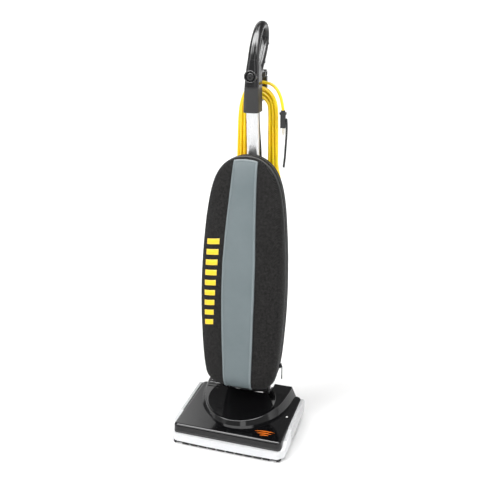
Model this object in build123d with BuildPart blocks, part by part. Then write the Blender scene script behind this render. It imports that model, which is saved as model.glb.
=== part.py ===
"""Commercial upright vacuum cleaner: a wide nozzle base, a hard-shell zipped bag, a bent
aluminium handle tube with a loop grip, and a mains cord wound on two hooks.

Millimetres. +X is the cleaner's left-to-right width, -Y is its front and +Z is up. The origin
is on the floor, under the middle of the whole cleaner's box.
"""

from build123d import *
import math
import os

os.makedirs("parts", exist_ok=True)

# ---------------------------------------------------------------- driving dimensions
WIDTH = 340.0  # across the bumper
FRONT_Y = -190.0  # middle of the bumper's front
REAR_Y = 190.0  # back of the loop grip
TOP_Z = 1150.0  # top of the loop grip

# nozzle base
BODY_HALF = 160.0  # half width of the chassis and the cover
CHASSIS_FRONT, CHASSIS_REAR = -181.0, 66.0
COVER_FRONT, COVER_REAR = -181.0, 70.0
SOLE_BOTTOM, CHASSIS_BOTTOM = 3.5, 6.5
CHASSIS_TOP = 40.7
DECK_TOP = 62.0
WALL = 2.5
MOUTH_HALF, MOUTH_FRONT, MOUTH_REAR = 128.0, -172.0, -124.0

# motor, fan and brush drive
MOTOR_Y, MOTOR_Z, MOTOR_R = -12.0, 43.0, 28.0
SHAFT_R = 4.0
FAN_R, VOLUTE_R = 27.0, 32.0
ROLL_Y, ROLL_Z, ROLL_R, BRISTLE_R = -148.0, 28.0, 16.0, 26.5
PULLEY_R = 8.0
BELT_X, BELT_WIDTH, BELT_THICK = 98.0, 9.0, 2.0
RUN_GAP = 0.05  # radial clearance of a running fit

# wheels and hinges
WHEEL_X, WHEEL_Y, WHEEL_R, WHEEL_WIDTH = 118.0, 52.0, 24.0, 22.0
ROLLER_X, ROLLER_Y, ROLLER_R, ROLLER_WIDTH = 140.0, -176.0, 5.0, 17.0
PIVOT_Y, PIVOT_Z, PIVOT_R = 50.0, 70.0, 6.0
PEDAL_X, PEDAL_Y, PEDAL_Z = -89.0, 44.0, 48.0

# handle
LEAN = 0.0385  # the tube's rearward lean below its bend, per unit of height
TUBE_W, TUBE_D, TUBE_WALL = 35.0, 20.0, 1.8
TUBE_FOOT = (53.0, 120.0)  # y, z
TUBE_BEND = (78.0, 790.0)
TUBE_HEAD = (63.0, 975.0)

# bag
BAG_BOTTOM, BAG_TOP = 140.0, 808.0
SPLIT_Y0, SPLIT_SLOPE = -20.0, 0.092  # the zip's line, at z 150 and per unit of height
ZIP_BAND = 6.0
SHELL = 4.0

# cord
CORD_D = 8.2
HANK_X, HANK_FRONT, HANK_REAR = 5.0, 103.5, 130.5
HOOK_Z, LOWER_HOOK_Z = 944.0, 478.5


def save(piece, name):
    """Label a finished piece and write its STEP file."""
    piece.part.label = name
    export_step(piece.part, f"parts/{name}.step")


def zip_y(z):
    """Depth of the zip's line at a height."""
    return SPLIT_Y0 + (z - 150.0) * SPLIT_SLOPE


def tube_y(z):
    """Depth of the handle tube's middle at a height below its bend."""
    return TUBE_FOOT[0] + (z - TUBE_FOOT[1]) * (TUBE_BEND[0] - TUBE_FOOT[0]) / (TUBE_BEND[1] - TUBE_FOOT[1])


def arc_radii(points):
    """Largest radius that each inner corner of a route takes: 0.45 of its shorter run."""
    radii = []
    for before, here, after in zip(points, points[1:], points[2:]):
        run_in = Vector(*here) - Vector(*before)
        run_out = Vector(*after) - Vector(*here)
        turn = math.radians(run_in.get_angle(run_out))
        radii.append(0.45 * min(run_in.length, run_out.length) / math.tan(turn / 2))
    return radii


def route(points):
    """A path of straight runs joined by tangent arcs, and its start plane."""
    return FilletPolyline(*[Vector(*p) for p in points], radius=arc_radii(points))


def start_plane(path, x_dir=(1, 0, 0)):
    return Plane(origin=path @ 0, x_dir=x_dir, z_dir=path % 0)


def x_cylinder(radius, x_from, x_to, y, z, mode=Mode.ADD):
    """A cylinder along X between two stations."""
    middle = (x_from + x_to) / 2
    with Locations(Location((middle, y, z), (0, 90, 0))):
        Cylinder(radius, abs(x_to - x_from), mode=mode)


def block(x_from, x_to, y_from, y_to, z_from, z_to, mode=Mode.ADD):
    """A box between two stations along each axis."""
    with Locations(((x_from + x_to) / 2, (y_from + y_to) / 2, (z_from + z_to) / 2)):
        Box(abs(x_to - x_from), abs(y_to - y_from), abs(z_to - z_from), mode=mode)


def rounded_block(half, front, rear, bottom, top, corner, mode=Mode.ADD):
    """A box about the middle plane with rounded vertical corners."""
    with BuildSketch(Plane.XY.offset(bottom)) as outline:
        with Locations((0, (front + rear) / 2)):
            RectangleRounded(2 * half, rear - front, corner)
    extrude(outline.sketch, amount=top - bottom, mode=mode)


# ---------------------------------------------------------------- base: chassis and sole
EAR_X = (66.0, 72.0)
WHEEL_EARS = ((100.0, 104.0), (132.0, 136.0))
SOLE_Z = CHASSIS_BOTTOM + 3.0
CHAMBER_WALL_Y = -112.0

with BuildPart() as base_chassis:
    rounded_block(BODY_HALF, CHASSIS_FRONT, CHASSIS_REAR, CHASSIS_BOTTOM, CHASSIS_TOP, 14)
    rounded_block(BODY_HALF - 3, CHASSIS_FRONT + 3, CHASSIS_REAR - 3, SOLE_Z, CHASSIS_TOP, 11, Mode.SUBTRACT)
    block(-BODY_HALF + 3, BODY_HALF - 3, CHAMBER_WALL_Y - WALL, CHAMBER_WALL_Y, SOLE_Z, CHASSIS_TOP)
    block(-BODY_HALF + 9, BODY_HALF - 9, CHAMBER_WALL_Y - WALL, CHAMBER_WALL_Y, CHASSIS_TOP, 58)
    block(BELT_X - 8, BELT_X + 8, CHAMBER_WALL_Y - 5, CHAMBER_WALL_Y + 5, 11, 58, Mode.SUBTRACT)
    block(-MOUTH_HALF, MOUTH_HALF, MOUTH_FRONT, MOUTH_REAR, 0, SOLE_Z + 1, Mode.SUBTRACT)
    for rib_x in (-44.0, 24.0):
        block(rib_x - 2, rib_x + 2, MOTOR_Y - MOTOR_R, MOTOR_Y + MOTOR_R, SOLE_Z, MOTOR_Z - 8)
    x_cylinder(MOTOR_R, -60, 38, MOTOR_Y, MOTOR_Z, Mode.SUBTRACT)
    for edge_x in (PEDAL_X - 13, PEDAL_X + 13):
        block(edge_x - 1.5, edge_x + 1.5, PEDAL_Y - 6, PEDAL_Y + 6, SOLE_Z, PEDAL_Z + 6)
    for side in (-1, 1):
        block(side * EAR_X[0], side * EAR_X[1], PIVOT_Y - 12, PIVOT_Y + 12, SOLE_Z, PIVOT_Z + 12)
        x_cylinder(PIVOT_R, side * 60, side * 80, PIVOT_Y, PIVOT_Z, Mode.SUBTRACT)
        for ear in WHEEL_EARS:
            block(side * ear[0], side * ear[1], WHEEL_Y - 9, WHEEL_Y + 9, SOLE_Z, WHEEL_R + 9)
        block(
            side * (WHEEL_X - 13), side * (WHEEL_X + 13), WHEEL_Y - 27, WHEEL_Y + 27,
            CHASSIS_BOTTOM, CHASSIS_TOP + 8, Mode.SUBTRACT,
        )
        x_cylinder(4, side * 98, side * 138, WHEEL_Y, WHEEL_R, Mode.SUBTRACT)
        block(side * 129, side * 150.5, CHASSIS_FRONT + 1.5, ROLLER_Y + 11, SOLE_Z, 15)
        block(
            side * (ROLLER_X - 9), side * (ROLLER_X + 9), ROLLER_Y - 5.8, ROLLER_Y + 7,
            CHASSIS_BOTTOM, 12, Mode.SUBTRACT,
        )
        x_cylinder(1.5, side * 129, side * 151, ROLLER_Y, ROLLER_R, Mode.SUBTRACT)
    block(PEDAL_X - 13, PEDAL_X + 13, CHASSIS_REAR - 8, CHASSIS_REAR + 8, 24, 60, Mode.SUBTRACT)
    x_cylinder(2.5, PEDAL_X - 16, PEDAL_X + 16, PEDAL_Y, PEDAL_Z, Mode.SUBTRACT)
save(base_chassis, "base_chassis")

SCREW_SPOTS = ((-146, -116), (146, -116), (-60, -116), (60, -116))
with BuildPart() as soleplate:
    rounded_block(BODY_HALF, -187, -108, SOLE_BOTTOM, CHASSIS_BOTTOM, 12)
    block(-MOUTH_HALF, MOUTH_HALF, MOUTH_FRONT, MOUTH_REAR, 0, 9, Mode.SUBTRACT)
    for side in (-1, 1):
        block(side * 130, side * 150, -190, ROLLER_Y + 7, 0, 9, Mode.SUBTRACT)
    for step in range(-4, 5):
        block(step * 27 - 3, step * 27 + 3, -190, -183, 0, 9, Mode.SUBTRACT)
    with Locations(*[(x, y, SOLE_BOTTOM) for x, y in SCREW_SPOTS]):
        Cylinder(3.2, 3, align=(Align.CENTER, Align.CENTER, Align.MIN), mode=Mode.SUBTRACT)
save(soleplate, "soleplate")

with BuildPart() as soleplate_screws:
    with Locations(*[(x, y, SOLE_BOTTOM + 0.6) for x, y in SCREW_SPOTS]):
        Cylinder(3.1, 2.4, align=(Align.CENTER, Align.CENTER, Align.MIN))
save(soleplate_screws, "soleplate_screws")

# ---------------------------------------------------------------- base: covers and trims
RECESS_HALF, RECESS_Y = 75.0, 24.0
LENS_X, LENS_Y, LENS_R = 144.0, -51.0, 3.5

COVER_ROLL = 9.0  # radius of the cover's rolled upper edge

with BuildPart() as cover_hollow:
    rounded_block(BODY_HALF - WALL, COVER_FRONT + WALL, COVER_REAR - WALL, CHASSIS_TOP, DECK_TOP - WALL, 11.5)
    fillet(cover_hollow.edges().group_by(Axis.Z)[-1], radius=COVER_ROLL - WALL)
with BuildPart() as nozzle_cover:
    rounded_block(BODY_HALF, COVER_FRONT, COVER_REAR, CHASSIS_TOP + 0.1, DECK_TOP, 14)
    fillet(nozzle_cover.edges().group_by(Axis.Z)[-1], radius=COVER_ROLL)
    add(cover_hollow.part, mode=Mode.SUBTRACT)
    block(-76, 108, -54, 60, 50, 70, Mode.SUBTRACT)
    block(-RECESS_HALF, RECESS_HALF, RECESS_Y - 2, 80, 50, 70, Mode.SUBTRACT)
    block(PEDAL_X - 13, PEDAL_X + 13, 60, 80, 30, 57, Mode.SUBTRACT)
    for side in (-1, 1):
        block(side * (WHEEL_X - 13), side * (WHEEL_X + 13), 60, 80, 30, 2 * WHEEL_R + 2.5, Mode.SUBTRACT)
    with Locations((LENS_X, LENS_Y, DECK_TOP)):
        Cylinder(LENS_R, 20, mode=Mode.SUBTRACT)
save(nozzle_cover, "nozzle_cover")

with BuildPart() as indicator_lens:
    with Locations((LENS_X, LENS_Y, DECK_TOP - WALL)):
        Cylinder(LENS_R, WALL + 1.2, align=(Align.CENTER, Align.CENTER, Align.MIN))
    fillet(indicator_lens.edges().group_by(Axis.Z)[-1], radius=1)
save(indicator_lens, "indicator_lens")

HOOD_A, HOOD_B, HOOD_Y = 142.0, 200.0, 60.0  # half width, length and rear of its outline
HOOD_TOP, HOOD_DRAFT = 92.0, 13.0
RIM_FRONT_Z, RIM_SLOPE = 75.0, 0.11
DISH_Y, DISH_R, DISH_DEPTH = -30.0, 100.0, 12.0


def hood_outline(height, inset):
    """Half an ellipse with a short straight skirt behind it."""
    half, length = HOOD_A - inset, HOOD_B - inset
    with BuildSketch(Plane.XY.offset(height)) as outline:
        with BuildLine():
            EllipticalCenterArc((0, HOOD_Y), half, length, start_angle=180, arc_size=180)
            Polyline((half, HOOD_Y), (half, CHASSIS_REAR), (-half, CHASSIS_REAR), (-half, HOOD_Y))
        make_face()
    return outline.sketch


def hood_form(inset):
    """The hood's outer body, or its hollow when inset by the wall."""
    loft([hood_outline(DECK_TOP, inset), hood_outline(HOOD_TOP, HOOD_DRAFT + inset)])
    low = RIM_FRONT_Z - inset
    top = HOOD_TOP - inset
    flat_y = -137 + (top - low) / RIM_SLOPE
    with BuildSketch(Plane.YZ) as above:
        with BuildLine():
            Polyline((-220, low - RIM_SLOPE * 83), (flat_y, top), (150, top), (150, 200), (-220, 200),
                     (-220, low - RIM_SLOPE * 83))
        make_face()
    extrude(above.sketch, amount=200, both=True, mode=Mode.SUBTRACT)
    sphere_r = (DISH_R**2 + DISH_DEPTH**2) / (2 * DISH_DEPTH)
    tilt = math.atan(RIM_SLOPE)
    rise = sphere_r - DISH_DEPTH
    dish_z = RIM_FRONT_Z + (DISH_Y + 137) * RIM_SLOPE
    with Locations((0, DISH_Y - rise * math.sin(tilt), dish_z + rise * math.cos(tilt))):
        Sphere(sphere_r + inset, mode=Mode.SUBTRACT)
    with BuildSketch(Plane.YZ) as recess:
        with BuildLine():
            Polyline(
                (RECESS_Y - inset, 40), (RECESS_Y - inset, 80 - inset), (-2 - inset, 102 - inset),
                (-2 - inset, 260), (120, 260), (120, 40), (RECESS_Y - inset, 40),
            )
        make_face()
    extrude(recess.sketch, amount=RECESS_HALF + inset, both=True, mode=Mode.SUBTRACT)


with BuildPart() as hood_hollow:
    hood_form(WALL)


def on_rim(edge):
    """Whether an edge of the solid hood is on its outer rim or round its dish."""
    spot = edge.center()
    long_curve = edge.length > 90 and 75 < spot.Z < 88 and abs(spot.Y - 20) > 3
    return long_curve or (abs(spot.X) > 120 and spot.Z > 88)


with BuildPart() as motor_hood:
    hood_form(0)
    fillet([edge for edge in motor_hood.edges() if on_rim(edge)], radius=3)
    add(hood_hollow.part, mode=Mode.SUBTRACT)
    for slot in range(4):
        block(-120, -84, -2 + slot * 11, 2.5 + slot * 11, 80, 120, Mode.SUBTRACT)
save(motor_hood, "motor_hood")

BUMPER_IN = BODY_HALF + 0.3
BUMPER_BOTTOM, BUMPER_TOP = 11.0, 34.5
BUMPER_Y = CHASSIS_FRONT - 0.3
TRIM_FRONT = -100.0
HALF = WIDTH / 2


def bumper_side_cut():
    """The bumper's top is low across the front and climbs along each side."""
    with BuildSketch(Plane.YZ) as above:
        with BuildLine():
            Polyline((-210, BUMPER_TOP), (-176, BUMPER_TOP), (-150, 51), (-96, 57), (-96, 90), (-210, 90),
                     (-210, BUMPER_TOP))
        make_face()
    extrude(above.sketch, amount=200, both=True, mode=Mode.SUBTRACT)


with BuildPart() as front_bumper:
    with BuildSketch(Plane.XY.offset(BUMPER_BOTTOM)):
        with BuildLine():
            ThreePointArc((-152, FRONT_Y + 3), (0, FRONT_Y), (152, FRONT_Y + 3))
            Polyline((152, FRONT_Y + 3), (HALF, FRONT_Y + 21))
            Polyline((HALF, FRONT_Y + 21), (HALF, TRIM_FRONT - 0.3), (-HALF, TRIM_FRONT - 0.3),
                     (-HALF, FRONT_Y + 21))
            Polyline((-HALF, FRONT_Y + 21), (-152, FRONT_Y + 3))
        make_face()
        with Locations((0, (BUMPER_Y + 20) / 2)):
            RectangleRounded(2 * BUMPER_IN, 20 - BUMPER_Y, 13, mode=Mode.SUBTRACT)
    extrude(amount=60)
    bumper_side_cut()
    corner_edges = [
        e for e in front_bumper.edges().filter_by(Axis.Z)
        if abs(abs(e.center().X) - 152) < 1 or abs(e.center().Y - FRONT_Y - 21) < 1
    ]
    fillet([e for e in corner_edges if abs(e.center().X) > 150], radius=10)
save(front_bumper, "front_bumper")

with BuildPart() as side_trims:
    with BuildSketch(Plane.YZ.offset(BUMPER_IN)) as trim_outline:
        with BuildLine():
            Polyline((54, 14), (TRIM_FRONT, 10), (TRIM_FRONT, 58), (58, 60))
            ThreePointArc((58, 60), (70, 38), (54, 14))
        make_face()
        fillet(trim_outline.vertices(), radius=5)
    extrude(amount=HALF - BUMPER_IN)
    fillet(side_trims.faces().sort_by(Axis.X)[-1].edges(), radius=4)
    mirror(about=Plane.YZ)
save(side_trims, "side_trims")

# ---------------------------------------------------------------- base: motor and fan
with BuildPart() as motor_housing:
    x_cylinder(MOTOR_R, -52, 34, MOTOR_Y, MOTOR_Z)
    x_cylinder(MOTOR_R - 2.5, -52, 34, MOTOR_Y, MOTOR_Z, Mode.SUBTRACT)
save(motor_housing, "motor_housing")

with BuildPart() as motor_stator:
    x_cylinder(MOTOR_R - 2.6, -30, 16, MOTOR_Y, MOTOR_Z)
    x_cylinder(17, -30, 16, MOTOR_Y, MOTOR_Z, Mode.SUBTRACT)
save(motor_stator, "motor_stator")

BEARING_R = 8.0
with BuildPart() as motor_end_bells:
    x_cylinder(MOTOR_R, -58, -52.05, MOTOR_Y, MOTOR_Z)
    x_cylinder(MOTOR_R, 34.05, 39.9, MOTOR_Y, MOTOR_Z)
    x_cylinder(BEARING_R, -70, 50, MOTOR_Y, MOTOR_Z, Mode.SUBTRACT)
save(motor_end_bells, "motor_end_bells")

with BuildPart() as motor_bearings:
    x_cylinder(BEARING_R, -58, -52.05, MOTOR_Y, MOTOR_Z)
    x_cylinder(BEARING_R, 34.05, 39.9, MOTOR_Y, MOTOR_Z)
    x_cylinder(SHAFT_R + RUN_GAP, -70, 50, MOTOR_Y, MOTOR_Z, Mode.SUBTRACT)
save(motor_bearings, "motor_bearings")

COMMUTATOR_R = 11.0
with BuildPart() as carbon_brushes:
    for side in (-1, 1):
        block(-43, -37, MOTOR_Y - 3, MOTOR_Y + 3, MOTOR_Z + side * (COMMUTATOR_R + 0.3), MOTOR_Z + side * (MOTOR_R - 3.5))
save(carbon_brushes, "carbon_brushes")

with BuildPart() as fan_housing_inner:
    x_cylinder(VOLUTE_R, 40, 57, MOTOR_Y, MOTOR_Z)
    x_cylinder(VOLUTE_R - WALL, 42.5, 57, MOTOR_Y, MOTOR_Z, Mode.SUBTRACT)
    x_cylinder(BEARING_R + 2, 39, 44, MOTOR_Y, MOTOR_Z, Mode.SUBTRACT)
    block(44, 62, MOTOR_Y + 20, MOTOR_Y + 50, 33, 51, Mode.SUBTRACT)
save(fan_housing_inner, "fan_housing_inner")

with BuildPart() as fan_housing_outer:
    x_cylinder(VOLUTE_R, 57.05, 74, MOTOR_Y, MOTOR_Z)
    x_cylinder(VOLUTE_R - WALL, 57.05, 71.5, MOTOR_Y, MOTOR_Z, Mode.SUBTRACT)
    x_cylinder(14, 70, 76, MOTOR_Y, MOTOR_Z, Mode.SUBTRACT)
    block(44, 62, MOTOR_Y + 20, MOTOR_Y + 50, 33, 51, Mode.SUBTRACT)
save(fan_housing_outer, "fan_housing_outer")

with BuildPart() as motor_shaft:
    x_cylinder(SHAFT_R, -62, 106, MOTOR_Y, MOTOR_Z)
    chamfer(motor_shaft.edges().group_by(Axis.X)[-1], length=0.8)
save(motor_shaft, "motor_shaft")

with BuildPart() as armature:
    x_cylinder(15.8, -28, 14, MOTOR_Y, MOTOR_Z)
    x_cylinder(9, -34, 18, MOTOR_Y, MOTOR_Z)
    x_cylinder(COMMUTATOR_R, -46, -34, MOTOR_Y, MOTOR_Z)
    x_cylinder(SHAFT_R, -50, 20, MOTOR_Y, MOTOR_Z, Mode.SUBTRACT)
save(armature, "armature")

FAN_X = 47.0
with BuildPart() as fan_impeller:
    x_cylinder(FAN_R, FAN_X, FAN_X + 2, MOTOR_Y, MOTOR_Z)
    x_cylinder(9, FAN_X, FAN_X + 18, MOTOR_Y, MOTOR_Z)
    for blade in range(8):
        with Locations(Location((FAN_X + 9, MOTOR_Y, MOTOR_Z), (blade * 45, 0, 0))):
            with Locations((0, 0, (FAN_R + 7) / 2)):
                Box(16, 1.6, FAN_R - 9)
    x_cylinder(SHAFT_R, FAN_X - 2, FAN_X + 20, MOTOR_Y, MOTOR_Z, Mode.SUBTRACT)
save(fan_impeller, "fan_impeller")

with BuildPart() as motor_pulley:
    x_cylinder(PULLEY_R, BELT_X - 5.5, BELT_X + 5.5, MOTOR_Y, MOTOR_Z)
    x_cylinder(PULLEY_R + 1.5, BELT_X - 7, BELT_X - 5.5, MOTOR_Y, MOTOR_Z)
    x_cylinder(SHAFT_R, BELT_X - 10, BELT_X + 10, MOTOR_Y, MOTOR_Z, Mode.SUBTRACT)
save(motor_pulley, "motor_pulley")

DUCT_Y = (20.5, 61.0)
SPIGOT_Y, SPIGOT_R = 44.0, 13.0
DUCT_TOP = 54.0
with BuildPart() as exhaust_duct:
    block(-17, 64, DUCT_Y[0], DUCT_Y[1], 30, DUCT_TOP)
    block(-15, 62, DUCT_Y[0] + 2, DUCT_Y[1] - 2, 32, DUCT_TOP - 2, Mode.SUBTRACT)
    block(45, 61, DUCT_Y[0] - 2, DUCT_Y[0] + 4, 34, 50, Mode.SUBTRACT)
    with Locations((0, SPIGOT_Y, DUCT_TOP - 1)):
        Cylinder(SPIGOT_R, 11, align=(Align.CENTER, Align.CENTER, Align.MIN))
        Cylinder(SPIGOT_R - 2, 11, align=(Align.CENTER, Align.CENTER, Align.MIN), mode=Mode.SUBTRACT)
    with Locations((0, SPIGOT_Y, DUCT_TOP)):
        Cylinder(SPIGOT_R - 2, 6, mode=Mode.SUBTRACT)
save(exhaust_duct, "exhaust_duct")

FILL_Y, FILL_FOOT, FILL_HEAD, FILL_R = 17.0, 134.0, 640.0, 15.0
HOSE_R = 16.0
with BuildPart() as exhaust_hose:
    with BuildLine() as hose_line:
        route(((0, SPIGOT_Y, DUCT_TOP + 0.6), (0, SPIGOT_Y, 84), (0, FILL_Y - 0.7, 116), (0, FILL_Y, FILL_FOOT)))
    with BuildSketch(start_plane(hose_line.line)):
        Circle(HOSE_R)
        Circle(SPIGOT_R + 0.2, mode=Mode.SUBTRACT)
    sweep()
save(exhaust_hose, "exhaust_hose")

# ---------------------------------------------------------------- base: brush roll and belt
with BuildPart() as drive_belt:
    for radius_more, mode in ((BELT_THICK, Mode.ADD), (0.0, Mode.SUBTRACT)):
        with BuildSketch(Plane.YZ.offset(BELT_X - BELT_WIDTH / 2)):
            with Locations((MOTOR_Y, MOTOR_Z)):
                Circle(PULLEY_R + RUN_GAP + radius_more)
            with Locations((ROLL_Y, ROLL_Z)):
                Circle(ROLL_R + RUN_GAP + radius_more)
            make_hull()
        extrude(amount=BELT_WIDTH, mode=mode)
save(drive_belt, "drive_belt")

AXLE_R = 3.0
with BuildPart() as brush_axle:
    x_cylinder(AXLE_R, -138, 138, ROLL_Y, ROLL_Z)
save(brush_axle, "brush_axle")

with BuildPart() as brush_end_caps:
    for side in (-1, 1):
        block(side * 130, side * 138, ROLL_Y - 11, ROLL_Y + 12, SOLE_Z, ROLL_Z + 16)
    x_cylinder(AXLE_R, -150, 150, ROLL_Y, ROLL_Z, Mode.SUBTRACT)
save(brush_end_caps, "brush_end_caps")

with BuildPart() as brush_tube:
    x_cylinder(ROLL_R, -128, 128, ROLL_Y, ROLL_Z)
    x_cylinder(ROLL_R - 4, -118, 118, ROLL_Y, ROLL_Z, Mode.SUBTRACT)
    x_cylinder(AXLE_R + RUN_GAP, -130, 130, ROLL_Y, ROLL_Z, Mode.SUBTRACT)
save(brush_tube, "brush_tube")

TUFT_STEP, TUFT_TWIST = 13.0, 21.0
with BuildPart() as brush_bristles:
    for row in range(2):
        for tuft in range(19):
            tuft_x = -119 + tuft * TUFT_STEP
            if abs(tuft_x - BELT_X) > BELT_WIDTH / 2 + 5:
                spin = row * 180 + tuft * TUFT_TWIST
                with Locations(Location((tuft_x, ROLL_Y, ROLL_Z), (spin, 0, 0))):
                    with Locations((0, 0, (ROLL_R + BRISTLE_R) / 2 - 0.3)):
                        Box(7, 4, BRISTLE_R - ROLL_R - 0.6)
save(brush_bristles, "brush_bristles")

# ---------------------------------------------------------------- base: wheels, pins, pedal
for side, word in ((-1, "left"), (1, "right")):
    with BuildPart() as rear_wheel:
        x_cylinder(
            WHEEL_R, side * (WHEEL_X - WHEEL_WIDTH / 2), side * (WHEEL_X + WHEEL_WIDTH / 2), WHEEL_Y, WHEEL_R
        )
        fillet(rear_wheel.edges(), radius=2.5)
        x_cylinder(
            14, side * (WHEEL_X + WHEEL_WIDTH / 2 - 3), side * (WHEEL_X + WHEEL_WIDTH / 2 + 1),
            WHEEL_Y, WHEEL_R, Mode.SUBTRACT,
        )
        x_cylinder(4 + RUN_GAP, side * 100, side * 140, WHEEL_Y, WHEEL_R, Mode.SUBTRACT)
    save(rear_wheel, f"rear_wheel_{word}")
    with BuildPart() as front_roller:
        x_cylinder(
            ROLLER_R, side * (ROLLER_X - ROLLER_WIDTH / 2), side * (ROLLER_X + ROLLER_WIDTH / 2),
            ROLLER_Y, ROLLER_R,
        )
        fillet(front_roller.edges(), radius=1)
        x_cylinder(1.5 + RUN_GAP, side * 129, side * 151, ROLLER_Y, ROLLER_R, Mode.SUBTRACT)
    save(front_roller, f"front_roller_{word}")

with BuildPart() as wheel_axles:
    for side in (-1, 1):
        x_cylinder(4, side * 100, side * 136, WHEEL_Y, WHEEL_R)
        x_cylinder(1.5, side * 130, side * 150, ROLLER_Y, ROLLER_R)
save(wheel_axles, "wheel_axles")

FORK_X = (46.0, 62.0)
with BuildPart() as hinge_pins:
    for side in (-1, 1):
        x_cylinder(PIVOT_R, side * 44, side * 74, PIVOT_Y, PIVOT_Z)
    x_cylinder(2.5, PEDAL_X - 14.5, PEDAL_X + 14.5, PEDAL_Y, PEDAL_Z)
save(hinge_pins, "hinge_pins")

with BuildPart() as release_pedal:
    block(PEDAL_X - 10, PEDAL_X + 10, 38, 74, PEDAL_Z - 4, PEDAL_Z + 4)
    block(PEDAL_X - 11, PEDAL_X + 11, 74, 106, PEDAL_Z - 4, PEDAL_Z + 4)
    fillet(release_pedal.edges().filter_by(Axis.Z).group_by(Axis.Y)[-1], radius=8)
    block(PEDAL_X - 10, PEDAL_X + 10, 33, 39, PEDAL_Z - 4, PEDAL_Z + 9)
    x_cylinder(2.5 + RUN_GAP, PEDAL_X - 20, PEDAL_X + 20, PEDAL_Y, PEDAL_Z, Mode.SUBTRACT)
save(release_pedal, "release_pedal")

SPRING_R, SPRING_WIRE, SPRING_TURNS = 5.0, 0.7, 6
SPRING_Y = 56.0
with BuildPart() as pedal_spring:
    spring_height = PEDAL_Z - 4 - SOLE_Z - 2 * SPRING_WIRE - 0.4
    with BuildLine(Plane.XY) as coil:
        Helix(
            pitch=spring_height / SPRING_TURNS, height=spring_height, radius=SPRING_R,
            center=(PEDAL_X, SPRING_Y, SOLE_Z + SPRING_WIRE + 0.2),
        )
    with BuildSketch(Plane(origin=coil.line @ 0, z_dir=coil.line % 0)):
        Circle(SPRING_WIRE)
    sweep()
save(pedal_spring, "pedal_spring")

# ---------------------------------------------------------------- handle: yoke and tube
with BuildPart() as handle_yoke:
    for side in (-1, 1):
        with BuildSketch(Plane.YZ.offset(side * FORK_X[0])):
            with Locations((PIVOT_Y, PIVOT_Z)):
                Circle(14)
            with Locations((tube_y(128), 128)):
                Rectangle(28, 20)
            make_hull()
        extrude(amount=side * (FORK_X[1] - FORK_X[0]))
    block(-FORK_X[1], FORK_X[1], tube_y(128) - 14, tube_y(128) + 14, 118, 138)
    with BuildSketch(Plane.XY.offset(118)):
        with Locations((0, tube_y(128))):
            RectangleRounded(TUBE_W + 10, 28, 8)
    extrude(amount=57)
    x_cylinder(PIVOT_R + RUN_GAP, -70, 70, PIVOT_Y, PIVOT_Z, Mode.SUBTRACT)
    with BuildSketch(Plane(origin=(0, tube_y(122), 122), z_dir=(0, LEAN, 1), x_dir=(1, 0, 0))):
        SlotOverall(TUBE_W + 0.3, TUBE_D + 0.3)
    extrude(amount=80, mode=Mode.SUBTRACT)
save(handle_yoke, "handle_yoke")

TUBE_ROUTE = ((0, tube_y(122.5), 122.5), (0, *TUBE_BEND), (0, *TUBE_HEAD))
with BuildPart() as handle_tube:
    with BuildLine() as tube_line:
        route(TUBE_ROUTE)
    with BuildSketch(start_plane(tube_line.line)):
        SlotOverall(TUBE_W, TUBE_D)
        SlotOverall(TUBE_W - 2 * TUBE_WALL, TUBE_D - 2 * TUBE_WALL, mode=Mode.SUBTRACT)
    sweep()
save(handle_tube, "handle_tube")

# ---------------------------------------------------------------- handle: bag
BAG_SIDE = (
    (88, 154), (101, 185), (107, 234), (112, 290), (116, 380), (116, 457), (113, 547), (107, 631), (100, 686),
    (92, 726), (81, 753), (64, 778), (40, 797),
)
BAG_FRONT = (
    (-70, 145), (-79, 180), (-78, 280), (-74, 385), (-66, 480), (-55, 560), (-42, 623), (-22, 708), (1, 779),
    (18, 802),
)
BAG_REAR_FOOT = 37.0
BAG_HALF = (116.0, 64.0, 334.0)  # half width, half depth and half height
BAG_MIDDLE_Y = -15.0
BAG_MIDDLE_Z = (BAG_BOTTOM + BAG_TOP) / 2


def bag_rear(z):
    """Depth of the bag's flat back at a height."""
    return BAG_REAR_FOOT + (z - 150) * LEAN


def bag_form(inset):
    """The bag's outer body, or its hollow when inset: its front and side outlines, crossed."""
    shrink_x, shrink_y, shrink_z = [(half - inset) / half for half in BAG_HALF]

    def front_spot(x, z):
        return (x * shrink_x, BAG_MIDDLE_Z + (z - BAG_MIDDLE_Z) * shrink_z)

    def side_spot(y, z):
        return (BAG_MIDDLE_Y + (y - BAG_MIDDLE_Y) * shrink_y, BAG_MIDDLE_Z + (z - BAG_MIDDLE_Z) * shrink_z)

    right = [front_spot(x, z) for x, z in BAG_SIDE]
    left = [(-x, z) for x, z in right]
    under = [front_spot(x, z) for x, z in ((62, 142), (0, BAG_BOTTOM), (-62, 142))]
    with BuildSketch(Plane.XZ) as front_view:
        with BuildLine():
            Spline(*right)
            Spline(*left)
            ThreePointArc(right[-1], front_spot(0, BAG_TOP), left[-1])
            Spline(right[0], *under, left[0])
        make_face()
    extrude(front_view.sketch, amount=150, both=True)

    front = [side_spot(y, z) for y, z in BAG_FRONT]
    crown = [side_spot(y, z) for y, z in ((40, BAG_TOP), (bag_rear(795), 795))]
    foot = [side_spot(y, z) for y, z in ((bag_rear(150), 150), (24, BAG_BOTTOM), (-20, BAG_BOTTOM - 1))]
    with BuildSketch(Plane.YZ) as side_view:
        with BuildLine():
            Spline(*front)
            Spline(front[-1], *crown)
            Polyline(crown[-1], foot[0])
            Spline(*foot, side_spot(-56, BAG_BOTTOM), front[0])
        make_face()
    extrude(side_view.sketch, amount=150, both=True, mode=Mode.INTERSECT)


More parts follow.
